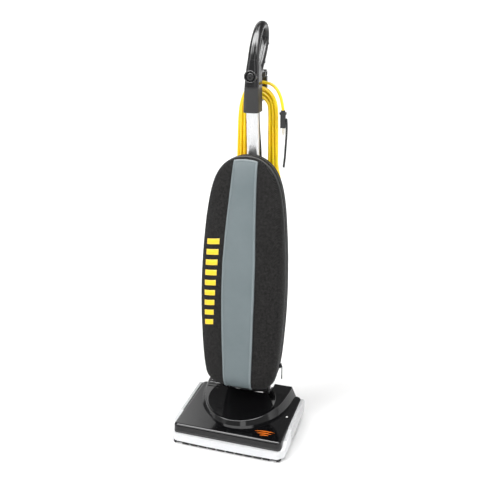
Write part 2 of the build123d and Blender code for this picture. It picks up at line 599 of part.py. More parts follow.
def half_space(front_of_zip, offset_y, mode):
    """Everything in front of, or behind, the zip's leaning plane."""
    low, high = -50.0, 1000.0
    reach = -300 if front_of_zip else 300
    with BuildSketch(Plane.YZ) as side_view:
        with BuildLine():
            Polyline(
                (zip_y(low) + offset_y, low), (zip_y(high) + offset_y, high), (reach, high), (reach, low),
                (zip_y(low) + offset_y, low),
            )
        make_face()
    extrude(side_view.sketch, amount=200, both=True, mode=mode)


with BuildPart() as bag_hollow:
    bag_form(SHELL)
with BuildPart() as panel_hollow:
    bag_form(2.5)

with BuildPart() as bag_front_panel:
    bag_form(0)
    add(panel_hollow.part, mode=Mode.SUBTRACT)
    with BuildSketch(Plane.XZ):
        with BuildLine():
            Spline((39, 120), (44, 274), (46.5, 430), (46, 525), (41.5, 623), (37, 708), (31.5, 840))
            Polyline((31.5, 840), (-31.5, 840))
            Spline((-31.5, 840), (-37, 708), (-41.5, 623), (-46, 525), (-46.5, 430), (-44, 274), (-39, 120))
            Polyline((-39, 120), (39, 120))
        make_face()
    extrude(amount=200, both=True, mode=Mode.INTERSECT)
    half_space(True, -8, Mode.INTERSECT)
save(bag_front_panel, "bag_front_panel")

with BuildPart() as bag_front_shell:
    bag_form(0)
    add(bag_hollow.part, mode=Mode.SUBTRACT)
    half_space(True, -0.3, Mode.INTERSECT)
    add(bag_front_panel.part, mode=Mode.SUBTRACT)
save(bag_front_shell, "bag_front_shell")

with BuildPart() as bag_zip_tape:
    bag_form(0)
    add(bag_hollow.part, mode=Mode.SUBTRACT)
    half_space(False, 0, Mode.INTERSECT)
    half_space(False, ZIP_BAND, Mode.SUBTRACT)
save(bag_zip_tape, "bag_zip_tape")

FILL_AXIS = Plane(origin=(0, FILL_Y, FILL_FOOT), z_dir=(0, LEAN, 1), x_dir=(1, 0, 0))
PAD_HEIGHTS = (230.0, 700.0)
with BuildPart() as bag_rear_shell:
    bag_form(0)
    add(bag_hollow.part, mode=Mode.SUBTRACT)
    half_space(False, ZIP_BAND, Mode.INTERSECT)
    for height in PAD_HEIGHTS:
        block(-14, 14, bag_rear(height) - 2, tube_y(height) - TUBE_D / 2 - 1.1, height - 18, height + 18)
    with BuildSketch(FILL_AXIS):
        Circle(FILL_R + 0.1)
    extrude(amount=30, mode=Mode.SUBTRACT)
save(bag_rear_shell, "bag_rear_shell")

with BuildPart() as fill_tube:
    with BuildSketch(FILL_AXIS.offset(0.05)):
        Circle(FILL_R)
        Circle(FILL_R - 1.8, mode=Mode.SUBTRACT)
    extrude(amount=FILL_HEAD - FILL_FOOT)
save(fill_tube, "fill_tube")

with BuildPart() as paper_hollow:
    bag_form(19.5)
with BuildPart() as paper_bag:
    bag_form(18)
    add(paper_hollow.part, mode=Mode.SUBTRACT)
    block(-200, 200, FILL_Y - FILL_R - 3, 200, 0, 1000, Mode.SUBTRACT)
    block(-200, 200, -200, 200, 690, 1000, Mode.SUBTRACT)
save(paper_bag, "paper_bag")

SLIDER_Z = 205.0
SLIDER_X = 105.4
with BuildPart() as zip_slider:
    with Locations(Location((SLIDER_X + 2.2, zip_y(SLIDER_Z) - 5, SLIDER_Z), (0, 6, 0))):
        Box(3, 7, 12)
    with Locations(Location((SLIDER_X + 2.6, zip_y(SLIDER_Z) - 5, SLIDER_Z - 18), (0, 6, 0))):
        Box(1.6, 6, 25)
save(zip_slider, "zip_slider")

# ---------------------------------------------------------------- handle: switch housing
# height, middle depth, width, depth and corner radius of each section
SLEEVE = (
    (922.0, 70.0, 43.0, 54.0, 12.0),
    (965.0, 71.0, 41.5, 53.0, 12.0),
    (1005.0, 74.0, 39.0, 50.0, 12.0),
    (1040.0, 76.0, 34.0, 42.0, 12.0),
    (1060.0, 74.5, 28.0, 32.0, 11.0),
)
SLEEVE_SPLIT = 70.0


def sleeve_form(inset):
    """The sleeve's outer body, or its hollow when inset by the wall."""
    sections = []
    for z, y, width, depth, corner in SLEEVE:
        with BuildSketch(Plane.XY.offset(z)) as section:
            with Locations((0, y)):
                RectangleRounded(width - 2 * inset, depth - 2 * inset, corner - inset)
        sections.append(section.sketch)
    loft(sections)


HOOK_PIN_R, HOOK_BOSS_R = 6.0, 11.0
LEG_DEPTH = 22.0
LOOP_ROUTE = (
    (0, 71, 1061), (0, 82, 1092), (0, 102, 1119), (0, 130, TOP_Z - LEG_DEPTH / 2),
    (0, 160, TOP_Z - LEG_DEPTH / 2), (0, REAR_Y - LEG_DEPTH / 2, 1120), (0, REAR_Y - LEG_DEPTH / 2, 1096),
    (0, 158, 1063), (0, 132, 1034), (0, 93, 1004),
)

SWITCH_Z, SWITCH_Y = 1017.0, 48.4
BEZEL_R, ROCKER_R = 15.0, 10.7

with BuildPart() as sleeve_hollow:
    sleeve_form(WALL)
with BuildPart() as sleeve_shell:
    sleeve_form(0)
    add(sleeve_hollow.part, mode=Mode.SUBTRACT)
    with BuildSketch(Plane.XZ.offset(-30)):
        with Locations((0, SWITCH_Z)):
            Circle(BEZEL_R - 3)
    extrude(amount=-40, mode=Mode.SUBTRACT)

with BuildPart() as loop_reach:
    with BuildLine() as loop_line:
        route(LOOP_ROUTE)
    with BuildSketch(start_plane(loop_line.line)):
        Ellipse(13, LEG_DEPTH / 2)
    sweep()

with BuildPart() as switch_housing_front:
    add(sleeve_shell.part)
    block(-60, 60, SLEEVE_SPLIT, 200, 800, 1200, Mode.SUBTRACT)
save(switch_housing_front, "switch_housing_front")

EXIT_X, EXIT_Y, SLEEVE_FOOT = 0.0, 89.0, SLEEVE[0][0]
LEAD_D = 6.5
with BuildPart() as switch_housing_back:
    add(sleeve_shell.part)
    block(-60, 60, -200, SLEEVE_SPLIT + 0.05, 800, 1200, Mode.SUBTRACT)
    with BuildSketch(Plane.XZ.offset(-86)):
        with Locations((0, HOOK_Z)):
            Circle(HOOK_BOSS_R)
    extrude(amount=-(104 - 86))
    with BuildSketch(Plane.XZ.offset(-80)):
        with Locations((0, HOOK_Z)):
            Circle(HOOK_PIN_R + RUN_GAP)
    extrude(amount=-40, mode=Mode.SUBTRACT)
    add(loop_reach.part, mode=Mode.SUBTRACT)
save(switch_housing_back, "switch_housing_back")

for side, word in ((-1, "left"), (1, "right")):
    with BuildPart() as loop_grip:
        add(loop_reach.part)
        block(0, -side * 100, -300, 300, 900, 1300, Mode.SUBTRACT)
        block(-60, 60, -200, SLEEVE_SPLIT + 25.5, 900, 1060, Mode.SUBTRACT)
    save(loop_grip, f"loop_grip_{word}")

with BuildPart() as switch_bezel:
    with BuildSketch(Plane.XZ.offset(-SWITCH_Y)):
        with Locations((0, SWITCH_Z)):
            Circle(BEZEL_R)
            Circle(ROCKER_R + 0.5, mode=Mode.SUBTRACT)
    extrude(amount=5)
    fillet(switch_bezel.edges().group_by(Axis.Y)[0], radius=1)
save(switch_bezel, "switch_bezel")

with BuildPart() as switch_rocker:
    with BuildSketch(Plane.XZ.offset(-SWITCH_Y + 1)):
        with Locations((0, SWITCH_Z)):
            Circle(ROCKER_R)
    extrude(amount=5)
    fillet(switch_rocker.edges().group_by(Axis.Y)[0], radius=0.8)
save(switch_rocker, "switch_rocker")

with BuildPart() as switch_block:
    block(-9, 9, 57, 80, SWITCH_Z - 13, SWITCH_Z + 13)
save(switch_block, "switch_block")

with BuildPart() as strain_relief:
    with BuildSketch(Plane.XY.offset(SLEEVE_FOOT)):
        with Locations((EXIT_X, EXIT_Y)):
            Circle(6.5)
    with BuildSketch(Plane.XY.offset(SLEEVE_FOOT - 32)):
        with Locations((EXIT_X, EXIT_Y)):
            Circle(CORD_D / 2 + 0.6)
    loft()
save(strain_relief, "strain_relief")

# ---------------------------------------------------------------- handle: hooks
with BuildPart() as upper_cord_hook:
    with BuildSketch(Plane.XZ.offset(-87)):
        with Locations((0, HOOK_Z)):
            Circle(HOOK_PIN_R)
    extrude(amount=-20)
    with BuildSketch(Plane.XZ.offset(-104.2)):
        with Locations((0, HOOK_Z)):
            Circle(8)
    extrude(amount=-(178 - 104.2))
    block(-8, 8, 174, 184, HOOK_Z - 8, 1002)
    with BuildSketch(Plane.YZ.offset(-6)):
        with Locations((178, 1010)):
            Circle(11)
            Circle(5.5, mode=Mode.SUBTRACT)
    extrude(amount=12)
save(upper_cord_hook, "upper_cord_hook")

with BuildPart() as lower_cord_hook:
    hook_tube_rear = tube_y(LOWER_HOOK_Z) + TUBE_D / 2
    block(-12, 12, hook_tube_rear + 1.6, hook_tube_rear + 7, LOWER_HOOK_Z - 34, LOWER_HOOK_Z + 30)
    block(-10, 10, hook_tube_rear + 1.6, 150, LOWER_HOOK_Z - 8, LOWER_HOOK_Z + 8)
    block(-10, 10, 142, 150, LOWER_HOOK_Z - 62, LOWER_HOOK_Z + 8)
    fillet(lower_cord_hook.edges().filter_by(Axis.X).group_by(Axis.Y)[-1], radius=3)
save(lower_cord_hook, "lower_cord_hook")

# ---------------------------------------------------------------- cord
LEAD_ROUTE = (
    (11.5, 84, 926), (12, 84.5, 890), (14.5, 88, 845), (17, 91, 797), (17, 89.5, 745), (17.5, 86, 680),
    (17.5, 82.5, 600), (18, 79, 510), (18.5, 76.5, 420), (19.5, 73, 330), (21, 70, 250), (21.5, 68, 185),
)
CORD_IN_ROUTE = (
    (EXIT_X, EXIT_Y, SLEEVE_FOOT - 32), (0, 89, 866), (0.5, 93, 834), (2.5, 97, 795), (10, 100, 748),
    (20, 103.5, 706), (29, 107.5, 668), (33, 110, 636),
)
CORD_OUT_ROUTE = (
    (25, 109.5, 995), (43, 106, 991.5), (57, 101.5, 981), (67.5, 98, 965), (74.5, 94.8, 946), (78, 93.5, 925),
)


def tube_along(points, diameter):
    """A plain round tube along a route, with the radii that it takes."""
    radii = [round(r / diameter, 1) for r in arc_radii(points)]
    with BuildPart() as tube:
        with BuildLine() as line:
            path = route(points)
        with BuildSketch(Plane(origin=path @ 0, z_dir=path % 0)) as section:
            Circle(diameter / 2)
        sweep(section.sketch, path=line.wire())
    length = line.wire().length
    ratio = tube.part.volume / (math.pi * diameter**2 / 4 * length)
    print(f"route length {length:.0f} mm, radii in diameters {radii}, volume ratio {ratio:.4f}")
    return tube


save(tube_along(LEAD_ROUTE, LEAD_D), "power_lead")
save(tube_along(CORD_IN_ROUTE, CORD_D), "cord_lead_in")
save(tube_along(CORD_OUT_ROUTE, CORD_D), "cord_tail")

# right half of the hank's outer and inner outlines, crown to heel: x from its middle, z
HANK_OUTER = (
    (0, 998), (25, 994), (45, 970), (55, 930), (60, 880), (62, 800), (62, 650), (59, 540), (50, 470), (27, 437),
    (0, 430),
)
HANK_INNER = (
    (0, 957), (13, 953), (22, 943), (26, 925), (27, 880), (28, 800), (28, 650), (27, 545), (23, 489), (15, 467),
    (0, 460),
)
with BuildPart() as cord_hank:
    with BuildSketch(Plane.XZ.offset(-HANK_FRONT)):
        for outline, mode in ((HANK_OUTER, Mode.ADD), (HANK_INNER, Mode.SUBTRACT)):
            right = [(HANK_X + x, z) for x, z in outline]
            left = [(HANK_X - x, z) for x, z in outline[-2:0:-1]]
            with BuildLine() as loop:
                Spline(*right, *left, periodic=True)
            make_face(loop.edges(), mode=mode)
    extrude(amount=-(HANK_REAR - HANK_FRONT))
    fillet(cord_hank.edges(), radius=7)
save(cord_hank, "cord_hank")

PLUG_X, PLUG_Y, PLUG_TOP = CORD_OUT_ROUTE[-1]
with BuildPart() as plug:
    with BuildSketch(Plane.XY.offset(PLUG_TOP)):
        with Locations((PLUG_X, PLUG_Y)):
            Circle(6)
    extrude(amount=-5)
    with BuildSketch(Plane.XY.offset(PLUG_TOP - 5)):
        with Locations((PLUG_X, PLUG_Y)):
            RectangleRounded(18, 15, 3)
    extrude(amount=-6)
    with BuildSketch(Plane.XY.offset(PLUG_TOP - 11)):
        with Locations((PLUG_X, PLUG_Y)):
            RectangleRounded(14, 13, 4)
    extrude(amount=-36)
save(plug, "plug")

PLUG_FACE = PLUG_TOP - 47
GROUND_R, GROUND_LENGTH = 2.38, 20.0
with BuildPart() as plug_blades:
    for side in (-1, 1):
        block(
            PLUG_X + side * 6.35 - 0.75, PLUG_X + side * 6.35 + 0.75, PLUG_Y - 6, PLUG_Y + 0.35,
            PLUG_FACE, PLUG_FACE - 17,
        )
    with Locations((PLUG_X, PLUG_Y + 4, PLUG_FACE)):
        Cylinder(GROUND_R, GROUND_LENGTH, align=(Align.CENTER, Align.CENTER, Align.MAX))
save(plug_blades, "plug_blades")

STRAP_W, STRAP_T = 4.5, 1.6
STRAP_ROUTE = (
    (PLUG_X + 9.4, PLUG_Y, 904), (PLUG_X + 11, PLUG_Y - 1, 886), (PLUG_X + 11.5, PLUG_Y - 3, 862),
    (PLUG_X + 10.5, PLUG_Y - 5, 832), (PLUG_X + 9, PLUG_Y - 7, 798), (PLUG_X + 6.5, PLUG_Y - 8, 770),
)
with BuildPart() as cord_strap:
    with BuildLine() as strap_line:
        route(STRAP_ROUTE)
    with BuildSketch(start_plane(strap_line.line, (0, 1, 0))):
        Rectangle(STRAP_T, STRAP_W)
    sweep()
save(cord_strap, "cord_strap")
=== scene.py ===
"""Looks of the upright vacuum cleaner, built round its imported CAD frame. Metres, +Z up, -Y is the front."""

import math

import bmesh
import bpy
import numpy as np
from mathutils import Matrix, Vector, noise


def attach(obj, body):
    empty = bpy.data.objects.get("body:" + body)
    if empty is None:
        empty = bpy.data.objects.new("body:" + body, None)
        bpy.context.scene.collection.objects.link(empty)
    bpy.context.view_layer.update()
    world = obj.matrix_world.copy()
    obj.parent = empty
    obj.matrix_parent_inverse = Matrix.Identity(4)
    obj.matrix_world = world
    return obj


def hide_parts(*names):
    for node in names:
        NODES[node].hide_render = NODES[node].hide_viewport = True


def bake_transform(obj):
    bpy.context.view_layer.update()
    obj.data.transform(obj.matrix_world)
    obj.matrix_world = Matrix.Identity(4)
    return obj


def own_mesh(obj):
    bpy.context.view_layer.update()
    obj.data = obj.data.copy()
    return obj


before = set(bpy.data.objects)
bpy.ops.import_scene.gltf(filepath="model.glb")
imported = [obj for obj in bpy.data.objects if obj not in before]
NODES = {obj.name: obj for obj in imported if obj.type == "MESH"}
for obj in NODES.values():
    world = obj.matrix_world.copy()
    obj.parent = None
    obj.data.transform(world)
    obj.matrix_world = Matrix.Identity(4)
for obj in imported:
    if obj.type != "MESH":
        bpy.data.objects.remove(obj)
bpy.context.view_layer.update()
MM = 0.001


# ---------------------------------------------------------------- node helpers
class Shader:
    """A Principled material with short calls for the nodes that its pattern needs."""

    def __init__(self, name, colour, roughness, **sockets):
        self.material = bpy.data.materials.new(name)
        self.material.use_nodes = True
        self.tree = self.material.node_tree
        self.bsdf = self.tree.nodes["Principled BSDF"]
        self.bsdf.inputs["Base Color"].default_value = (*colour, 1)
        self.bsdf.inputs["Roughness"].default_value = roughness
        for socket, value in sockets.items():
            self.bsdf.inputs[socket.replace("_", " ")].default_value = value
        self.material.diffuse_color = (*colour, 1)
        self.place = self.node("ShaderNodeTexCoord").outputs["Object"]

    @classmethod
    def on_tree(cls, tree, coordinate):
        """The same helpers on a tree that has no material, such as a world's."""
        made = cls.__new__(cls)
        made.tree = tree
        made.place = made.node("ShaderNodeTexCoord").outputs[coordinate]
        return made

    def node(self, kind, **settings):
        made = self.tree.nodes.new(kind)
        for name, value in settings.items():
            setattr(made, name, value)
        return made

    def link(self, source, target):
        if isinstance(source, (int, float)):
            target.default_value = source
        else:
            self.tree.links.new(source, target)

    def math(self, operation, a, b=0.0, clamp=False):
        made = self.node("ShaderNodeMath", operation=operation, use_clamp=clamp)
        self.link(a, made.inputs[0])
        self.link(b, made.inputs[1])
        return made.outputs[0]

    def axes(self):
        made = self.node("ShaderNodeSeparateXYZ")
        self.link(self.place, made.inputs[0])
        return made.outputs

    def noise(self, scale, detail=3.0, stretch=None, roughness=0.55):
        made = self.node("ShaderNodeTexNoise")
        made.inputs["Scale"].default_value = scale
        made.inputs["Detail"].default_value = detail
        made.inputs["Roughness"].default_value = roughness
        where = self.place
        if stretch:
            mapping = self.node("ShaderNodeMapping")
            mapping.inputs["Scale"].default_value = stretch
            self.link(where, mapping.inputs["Vector"])
            where = mapping.outputs[0]
        self.link(where, made.inputs["Vector"])
        return made.outputs["Fac"]

    def span(self, value, low, high, to_low, to_high):
        made = self.node("ShaderNodeMapRange")
        self.link(value, made.inputs["Value"])
        for socket, number in zip(("From Min", "From Max", "To Min", "To Max"), (low, high, to_low, to_high)):
            made.inputs[socket].default_value = number
        return made.outputs[0]

    def blend(self, share, first, second):
        made = self.node("ShaderNodeMix", data_type="RGBA")
        self.link(share, made.inputs["Factor"])
        for socket, colour in ((made.inputs[6], first), (made.inputs[7], second)):
            if isinstance(colour, tuple):
                socket.default_value = (*colour, 1)
            else:
                self.link(colour, socket)
        return made.outputs[2]

    def colour(self, source):
        self.link(source, self.bsdf.inputs["Base Color"])
        return self

    def rough(self, source):
        self.link(source, self.bsdf.inputs["Roughness"])
        return self

    def bump(self, height, distance, strength=1.0):
        made = self.node("ShaderNodeBump")
        made.inputs["Strength"].default_value = strength
        made.inputs["Distance"].default_value = distance
        self.link(height, made.inputs["Height"])
        previous = self.bsdf.inputs["Normal"].links
        if previous:
            self.link(previous[0].from_socket, made.inputs["Normal"])
        self.link(made.outputs[0], self.bsdf.inputs["Normal"])
        return self

    def worn_edges(self, base, worn, amount=0.6):
        """Lighter where the surface is sharply convex, as handled edges are."""
        edge = self.span(self.node("ShaderNodeNewGeometry").outputs["Pointiness"], 0.52, 0.62, 0.0, amount)
        broken = self.math("MULTIPLY", edge, self.noise(180, 4))
        return self.blend(broken, base, worn)


def moulded(name, colour, worn, roughness, grain=0.00004, grain_scale=900, vary=0.25, **sockets):
    """Injection-moulded plastic: fine grain, uneven gloss and slightly worn edges."""
    made = Shader(name, colour, roughness, **sockets)
    cloud = made.noise(14, 4)
    shade = made.span(cloud, 0.3, 0.7, 0.0, vary)
    darker = tuple(c * 0.7 for c in colour)
    made.colour(made.worn_edges(made.blend(shade, colour, darker), worn))
    made.rough(made.span(made.noise(60, 5), 0.3, 0.7, roughness * 0.85, roughness * 1.2))
    made.bump(made.noise(grain_scale, 2), grain)
    return made.material


def metal(name, colour, roughness, stretch=(900, 900, 30), **sockets):
    """Drawn or turned metal with fine lines along it."""
    made = Shader(name, colour, roughness, Metallic=1.0, **sockets)
    lines = made.noise(1.0, 4, stretch)
    made.colour(made.blend(made.span(lines, 0.35, 0.65, 0, 1), colour, tuple(c * 0.86 for c in colour)))
    made.rough(made.span(lines, 0.3, 0.7, roughness * 0.8, roughness * 1.3))
    made.bump(lines, 0.00002)
    return made.material


def gloss_black():
    """Polished black ABS: a deep clear gloss with a faint waviness, fine dust and hairline scuffs."""
    made = Shader("gloss_black", (0.004, 0.004, 0.0045), 0.07)
    made.bsdf.inputs["Specular IOR Level"].default_value = 0.42
    dust = made.span(made.noise(420, 6, roughness=0.7), 0.62, 0.8, 0.0, 0.06)
    made.colour(made.blend(dust, (0.004, 0.004, 0.0045), (0.09, 0.088, 0.085)))
    scuff = made.noise(1.0, 5, (25, 420, 25))
    made.rough(made.span(scuff, 0.4, 0.75, 0.05, 0.15))
    made.bump(made.noise(22, 2), 0.00012, 0.6)
    return made.material


def bag_fabric():
    """Black spacer mesh over foam: a grid of small dimples between crossing threads, with painted shade in the dimples
    and painted light on the raised crests.
    """
    made = Shader("bag_fabric", (0.008, 0.0078, 0.0078), 0.85, Sheen_Weight=0.04, Sheen_Roughness=0.5)
    made.bsdf.inputs["Specular IOR Level"].default_value = 0.12
    x, y, z = made.axes()
    across = made.math("SUBTRACT", x, made.math("MULTIPLY", y, 0.8))
    pitch = 3.3 * MM
    wave_x = made.math("SINE", made.math("MULTIPLY", across, 2 * math.pi / pitch))
    wave_z = made.math("SINE", made.math("MULTIPLY", z, 2 * math.pi / pitch))
    grid = made.math("MULTIPLY", wave_x, wave_z)
    thread = made.math("SINE", made.math("MULTIPLY", made.math("ADD", across, z), 2 * math.pi / (0.65 * MM)))
    # painted light and shade: the grid's raised crests are painted lighter and its dimples darker, matching the bump
    # relief
    painted_crest_light = made.span(grid, -0.7, 0.8, 0.0, 1.0)
    cloud = made.span(made.noise(160, 3), 0.3, 0.7, 0.55, 1.5)
    relief_light_and_shade = made.blend(painted_crest_light, (0.003, 0.0029, 0.0029), (0.026, 0.025, 0.0245))
    shade = made.node("ShaderNodeVectorMath", operation="SCALE")
    made.link(relief_light_and_shade, shade.inputs[0])
    made.link(cloud, shade.inputs["Scale"])
    made.colour(shade.outputs[0])
    made.rough(made.span(painted_crest_light, 0, 1, 0.95, 0.72))
    made.bump(grid, 0.00035, 0.8)
    made.bump(thread, 0.00006, 0.6)
    return made.material


def panel_grey():
    """Slate grey coated cloth: fine twill, soft sheen and slightly lighter rubbed patches."""
    made = Shader("panel_grey", (0.13, 0.16, 0.17), 0.5, Sheen_Weight=0.08)
    x, y, z = made.axes()
    twill = made.math("SINE", made.math("MULTIPLY", made.math("ADD", x, z), 2 * math.pi / (1.1 * MM)))
    cloud = made.span(made.noise(9, 4), 0.32, 0.68, 0.0, 1.0)
    base = made.blend(cloud, (0.115, 0.147, 0.156), (0.137, 0.17, 0.179))
    made.colour(made.worn_edges(base, (0.3, 0.34, 0.36), 0.5))
    made.rough(made.span(made.noise(75, 4), 0.3, 0.7, 0.4, 0.56))
    made.bump(twill, 0.00004, 0.5)
    made.bump(made.noise(700, 3), 0.00006, 0.5)
    return made.material


def cord_yellow():
    """Safety yellow jacket: matt rubbery skin with dull handling marks."""
    made = Shader("cord_yellow", (1.0, 0.72, 0.002), 0.42, Subsurface_Weight=0.08)
    made.bsdf.inputs["Subsurface Radius"].default_value = (0.004, 0.002, 0.0005)
    marks = made.span(made.noise(95, 6, roughness=0.7), 0.6, 0.82, 0.0, 0.5)
    cloud = made.span(made.noise(30, 3), 0.3, 0.7, 0.0, 1.0)
    yellow = made.blend(cloud, (1.0, 0.74, 0.002), (1.0, 0.66, 0.002))
    made.colour(made.blend(marks, yellow, (0.72, 0.44, 0.008)))
    made.rough(made.span(made.noise(160, 4), 0.3, 0.7, 0.34, 0.5))
    made.bump(made.noise(850, 3), 0.00005)
    return made.material


def speckled_trim():
    """Light grey textured side trim."""
    made = Shader("trim_grey", (0.5, 0.5, 0.5), 0.45)
    specks = made.span(made.noise(520, 3), 0.42, 0.62, 0.0, 1.0)
    made.colour(made.blend(specks, (0.6, 0.605, 0.61), (0.42, 0.425, 0.43)))
    made.bump(made.noise(420, 3), 0.00018)
    return made.material


def sleeve_black():
    """The switch housing: glossy round the switch, fine matt texture lower down."""
    made = Shader("sleeve_black", (0.012, 0.012, 0.013), 0.25)
    height = made.axes()[2]
    low = made.span(height, 0.984, 0.992, 1.0, 0.0)
    made.rough(made.span(low, 0, 1, 0.16, 0.5))
    black = made.blend(low, (0.008, 0.008, 0.009), (0.017, 0.0168, 0.0168))
    made.colour(made.worn_edges(black, (0.08, 0.08, 0.08)))
    made.bump(made.math("MULTIPLY", made.noise(1100, 2), low), 0.00009)
    return made.material


def paper():
    """Buff filter paper with soft creases and fibres."""
    made = Shader("paper", (0.62, 0.52, 0.38), 0.9)
    fibres = made.noise(1.0, 5, (500, 500, 90))
    made.colour(made.blend(made.span(fibres, 0.35, 0.7, 0, 1), (0.66, 0.56, 0.41), (0.53, 0.43, 0.3)))
    made.bump(fibres, 0.0001)
    made.bump(made.noise(35, 4), 0.0009, 0.6)
    return made.material


def bristle():
    """Stiff nylon bristle, slightly dusty."""
    made = Shader("bristle", (0.02, 0.02, 0.022), 0.4)
    tufts = made.span(made.noise(240, 4), 0.35, 0.7, 0, 1)
    made.colour(made.blend(tufts, (0.015, 0.015, 0.017), (0.07, 0.065, 0.06)))
    made.bump(made.noise(1500, 2), 0.00005)
    return made.material


def lens_clear():
    """Milky indicator lens."""
    made = Shader("lens_clear", (0.85, 0.85, 0.82), 0.12, Transmission_Weight=0.25)
    cloud = made.span(made.noise(500, 2), 0.3, 0.7, 0, 1)
    made.colour(made.blend(cloud, (0.9, 0.9, 0.87), (0.72, 0.72, 0.7)))
    return made.material


LOOK = {
    "housing_black": gloss_black(),
    "inner_black": moulded("inner_black", (0.015, 0.015, 0.016), (0.09, 0.09, 0.09), 0.5, 0.0001),
    "bumper_white": moulded("bumper_white", (0.6, 0.61, 0.625), (0.85, 0.85, 0.85), 0.34, 0.00005, vary=0.06),
    "trim_grey": speckled_trim(),
    "lens_clear": lens_clear(),
    "steel": metal("steel", (0.58, 0.58, 0.6), 0.28),
    "aluminium_tube": metal("aluminium_tube", (0.78, 0.785, 0.79), 0.3, Anisotropic=0.4),
    "copper_brass": metal("copper_brass", (0.72, 0.4, 0.2), 0.35, (600, 40, 600)),
    "fan_plastic": moulded("fan_plastic", (0.07, 0.075, 0.08), (0.2, 0.2, 0.2), 0.45),
    "rubber_black": moulded("rubber_black", (0.014, 0.014, 0.014), (0.05, 0.05, 0.05), 0.7, 0.0002, 500),
    "wheel_rubber": moulded("wheel_rubber", (0.022, 0.022, 0.023), (0.07, 0.07, 0.07), 0.62, 0.00018, 420),
    "bristle": bristle(),
    "hose_black": moulded("hose_black", (0.016, 0.016, 0.017), (0.06, 0.06, 0.06), 0.5, 0.0001),
    "bag_fabric": bag_fabric(),
    "bag_grey": panel_grey(),
    "zip_black": moulded("zip_black", (0.012, 0.012, 0.012), (0.06, 0.06, 0.06), 0.6, 0.0003, 1200),
    "paper": paper(),
    "grip_black": moulded("grip_black", (0.005, 0.005, 0.0055), (0.06, 0.06, 0.06), 0.2, 0.00003, 700),
    "switch_grey": moulded("switch_grey", (0.05, 0.05, 0.053), (0.2, 0.2, 0.2), 0.22),
    "switch_black": moulded("switch_black", (0.02, 0.02, 0.021), (0.12, 0.12, 0.12), 0.2),
    "cord_yellow": cord_yellow(),
    "cord_black": moulded("cord_black", (0.013, 0.013, 0.013), (0.05, 0.05, 0.05), 0.5, 0.00008),
    "blade_brass": metal("blade_brass", (0.72, 0.69, 0.62), 0.25),
    "pedal_black": moulded("pedal_black", (0.015, 0.015, 0.016), (0.1, 0.1, 0.1), 0.4),
    "sleeve_black": sleeve_black(),
    "ring_black": moulded("ring_black", (0.006, 0.006, 0.0065), (0.2, 0.2, 0.2), 0.1, 0.00001),
    "piping_black": moulded("piping_black", (0.03, 0.0295, 0.0295), (0.05, 0.05, 0.05), 0.4, 0.00006),
    "zip_teeth": moulded("zip_teeth", (0.016, 0.016, 0.016), (0.08, 0.08, 0.08), 0.35, 0.00004),
    "steel_dark": metal("steel_dark", (0.16, 0.16, 0.165), 0.35),
    "slider_black": metal("slider_black", (0.03, 0.03, 0.032), 0.55),
    # the raised border's grey is a lighter copy of the panel's grey: painted light on the border
    "panel_edge": moulded("panel_edge", (0.165, 0.2, 0.21), (0.35, 0.38, 0.4), 0.38, 0.00004, vary=0.1),
    "mark_yellow": moulded("mark_yellow", (0.95, 0.62, 0.006), (0.95, 0.8, 0.2), 0.5, 0.00006),
    "mark_orange": moulded("mark_orange", (0.8, 0.17, 0.01), (0.9, 0.4, 0.1), 0.3, 0.00004),
}


# ---------------------------------------------------------------- mesh helpers
def add_piece(name, vertices, faces, look, body, slot=None, stands_for=(), weld=True):
    """A smooth-shaded mesh piece that rides on a body, if one is named."""
    mesh = bpy.data.meshes.new(name)
    mesh.from_pydata([tuple(float(c) for c in v) for v in vertices], [], [tuple(f) for f in faces])
    made = bmesh.new()
    made.from_mesh(mesh)
    if weld:
        bmesh.ops.remove_doubles(made, verts=made.verts, dist=1e-6)
        bmesh.ops.dissolve_degenerate(made, edges=made.edges, dist=1e-7)
    bmesh.ops.recalc_face_normals(made, faces=made.faces)
    made.to_mesh(mesh)
    made.free()
    mesh.shade_smooth()
    piece = bpy.data.objects.new(name, mesh)
    bpy.context.scene.collection.objects.link(piece)
    mesh.materials.append(LOOK[look])
    if body:
        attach(piece, body)
    if stands_for:
        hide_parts(*stands_for)
    return piece


def skin(rings, close_round=True, cap_first=False, cap_last=False):
    """Vertices and quads that join rings of equal count, in order."""
    count = len(rings[0])
    vertices = [p for ring in rings for p in ring]
    faces = []
    for r in range(len(rings) - 1):
        for i in range(count if close_round else count - 1):
            j = (i + 1) % count
            faces.append((r * count + i, r * count + j, (r + 1) * count + j, (r + 1) * count + i))
    if cap_first:
        faces.append(tuple(range(count - 1, -1, -1)))
    if cap_last:
        faces.append(tuple((len(rings) - 1) * count + i for i in range(count)))
    return vertices, faces


def join(*parts):
    """Several (vertices, faces) as one."""
    vertices, faces = [], []
    for part_vertices, part_faces in parts:
        shift = len(vertices)
        vertices += list(part_vertices)
        faces += [tuple(i + shift for i in face) for face in part_faces]
    return vertices, faces


def sharpen(piece, angle=35):
    piece.data.set_sharp_from_angle(angle=math.radians(angle))
    return piece


def smooth_line(points, count):
    """An even Catmull-Rom curve through points."""
    p = np.array(points, float)
    p = np.vstack([2 * p[0] - p[1], p, 2 * p[-1] - p[-2]])
    steps = np.linspace(0, 1, 24, endpoint=False)[:, None]
    fine = []
    for a, b, c, d in zip(p, p[1:], p[2:], p[3:]):
        fine.append(0.5 * (2 * b + (c - a) * steps + (2 * a - 5 * b + 4 * c - d) * steps**2
                           + (3 * b - a - 3 * c + d) * steps**3))
    fine = np.vstack(fine + [p[-2]])
    along = np.concatenate([[0], np.cumsum(np.linalg.norm(np.diff(fine, axis=0), axis=1))])
    even = np.linspace(0, along[-1], count)
    return np.stack([np.interp(even, along, fine[:, k]) for k in range(fine.shape[1])], axis=1)


def round_ring(centre, across, up, radius_a, radius_b, count=24, start=0.0):
    """An ellipse of points about centre in the plane of two directions."""
    angles = start + np.linspace(0, 2 * math.pi, count, endpoint=False)
    return [centre + across * (radius_a * math.cos(a)) + up * (radius_b * math.sin(a)) for a in angles]


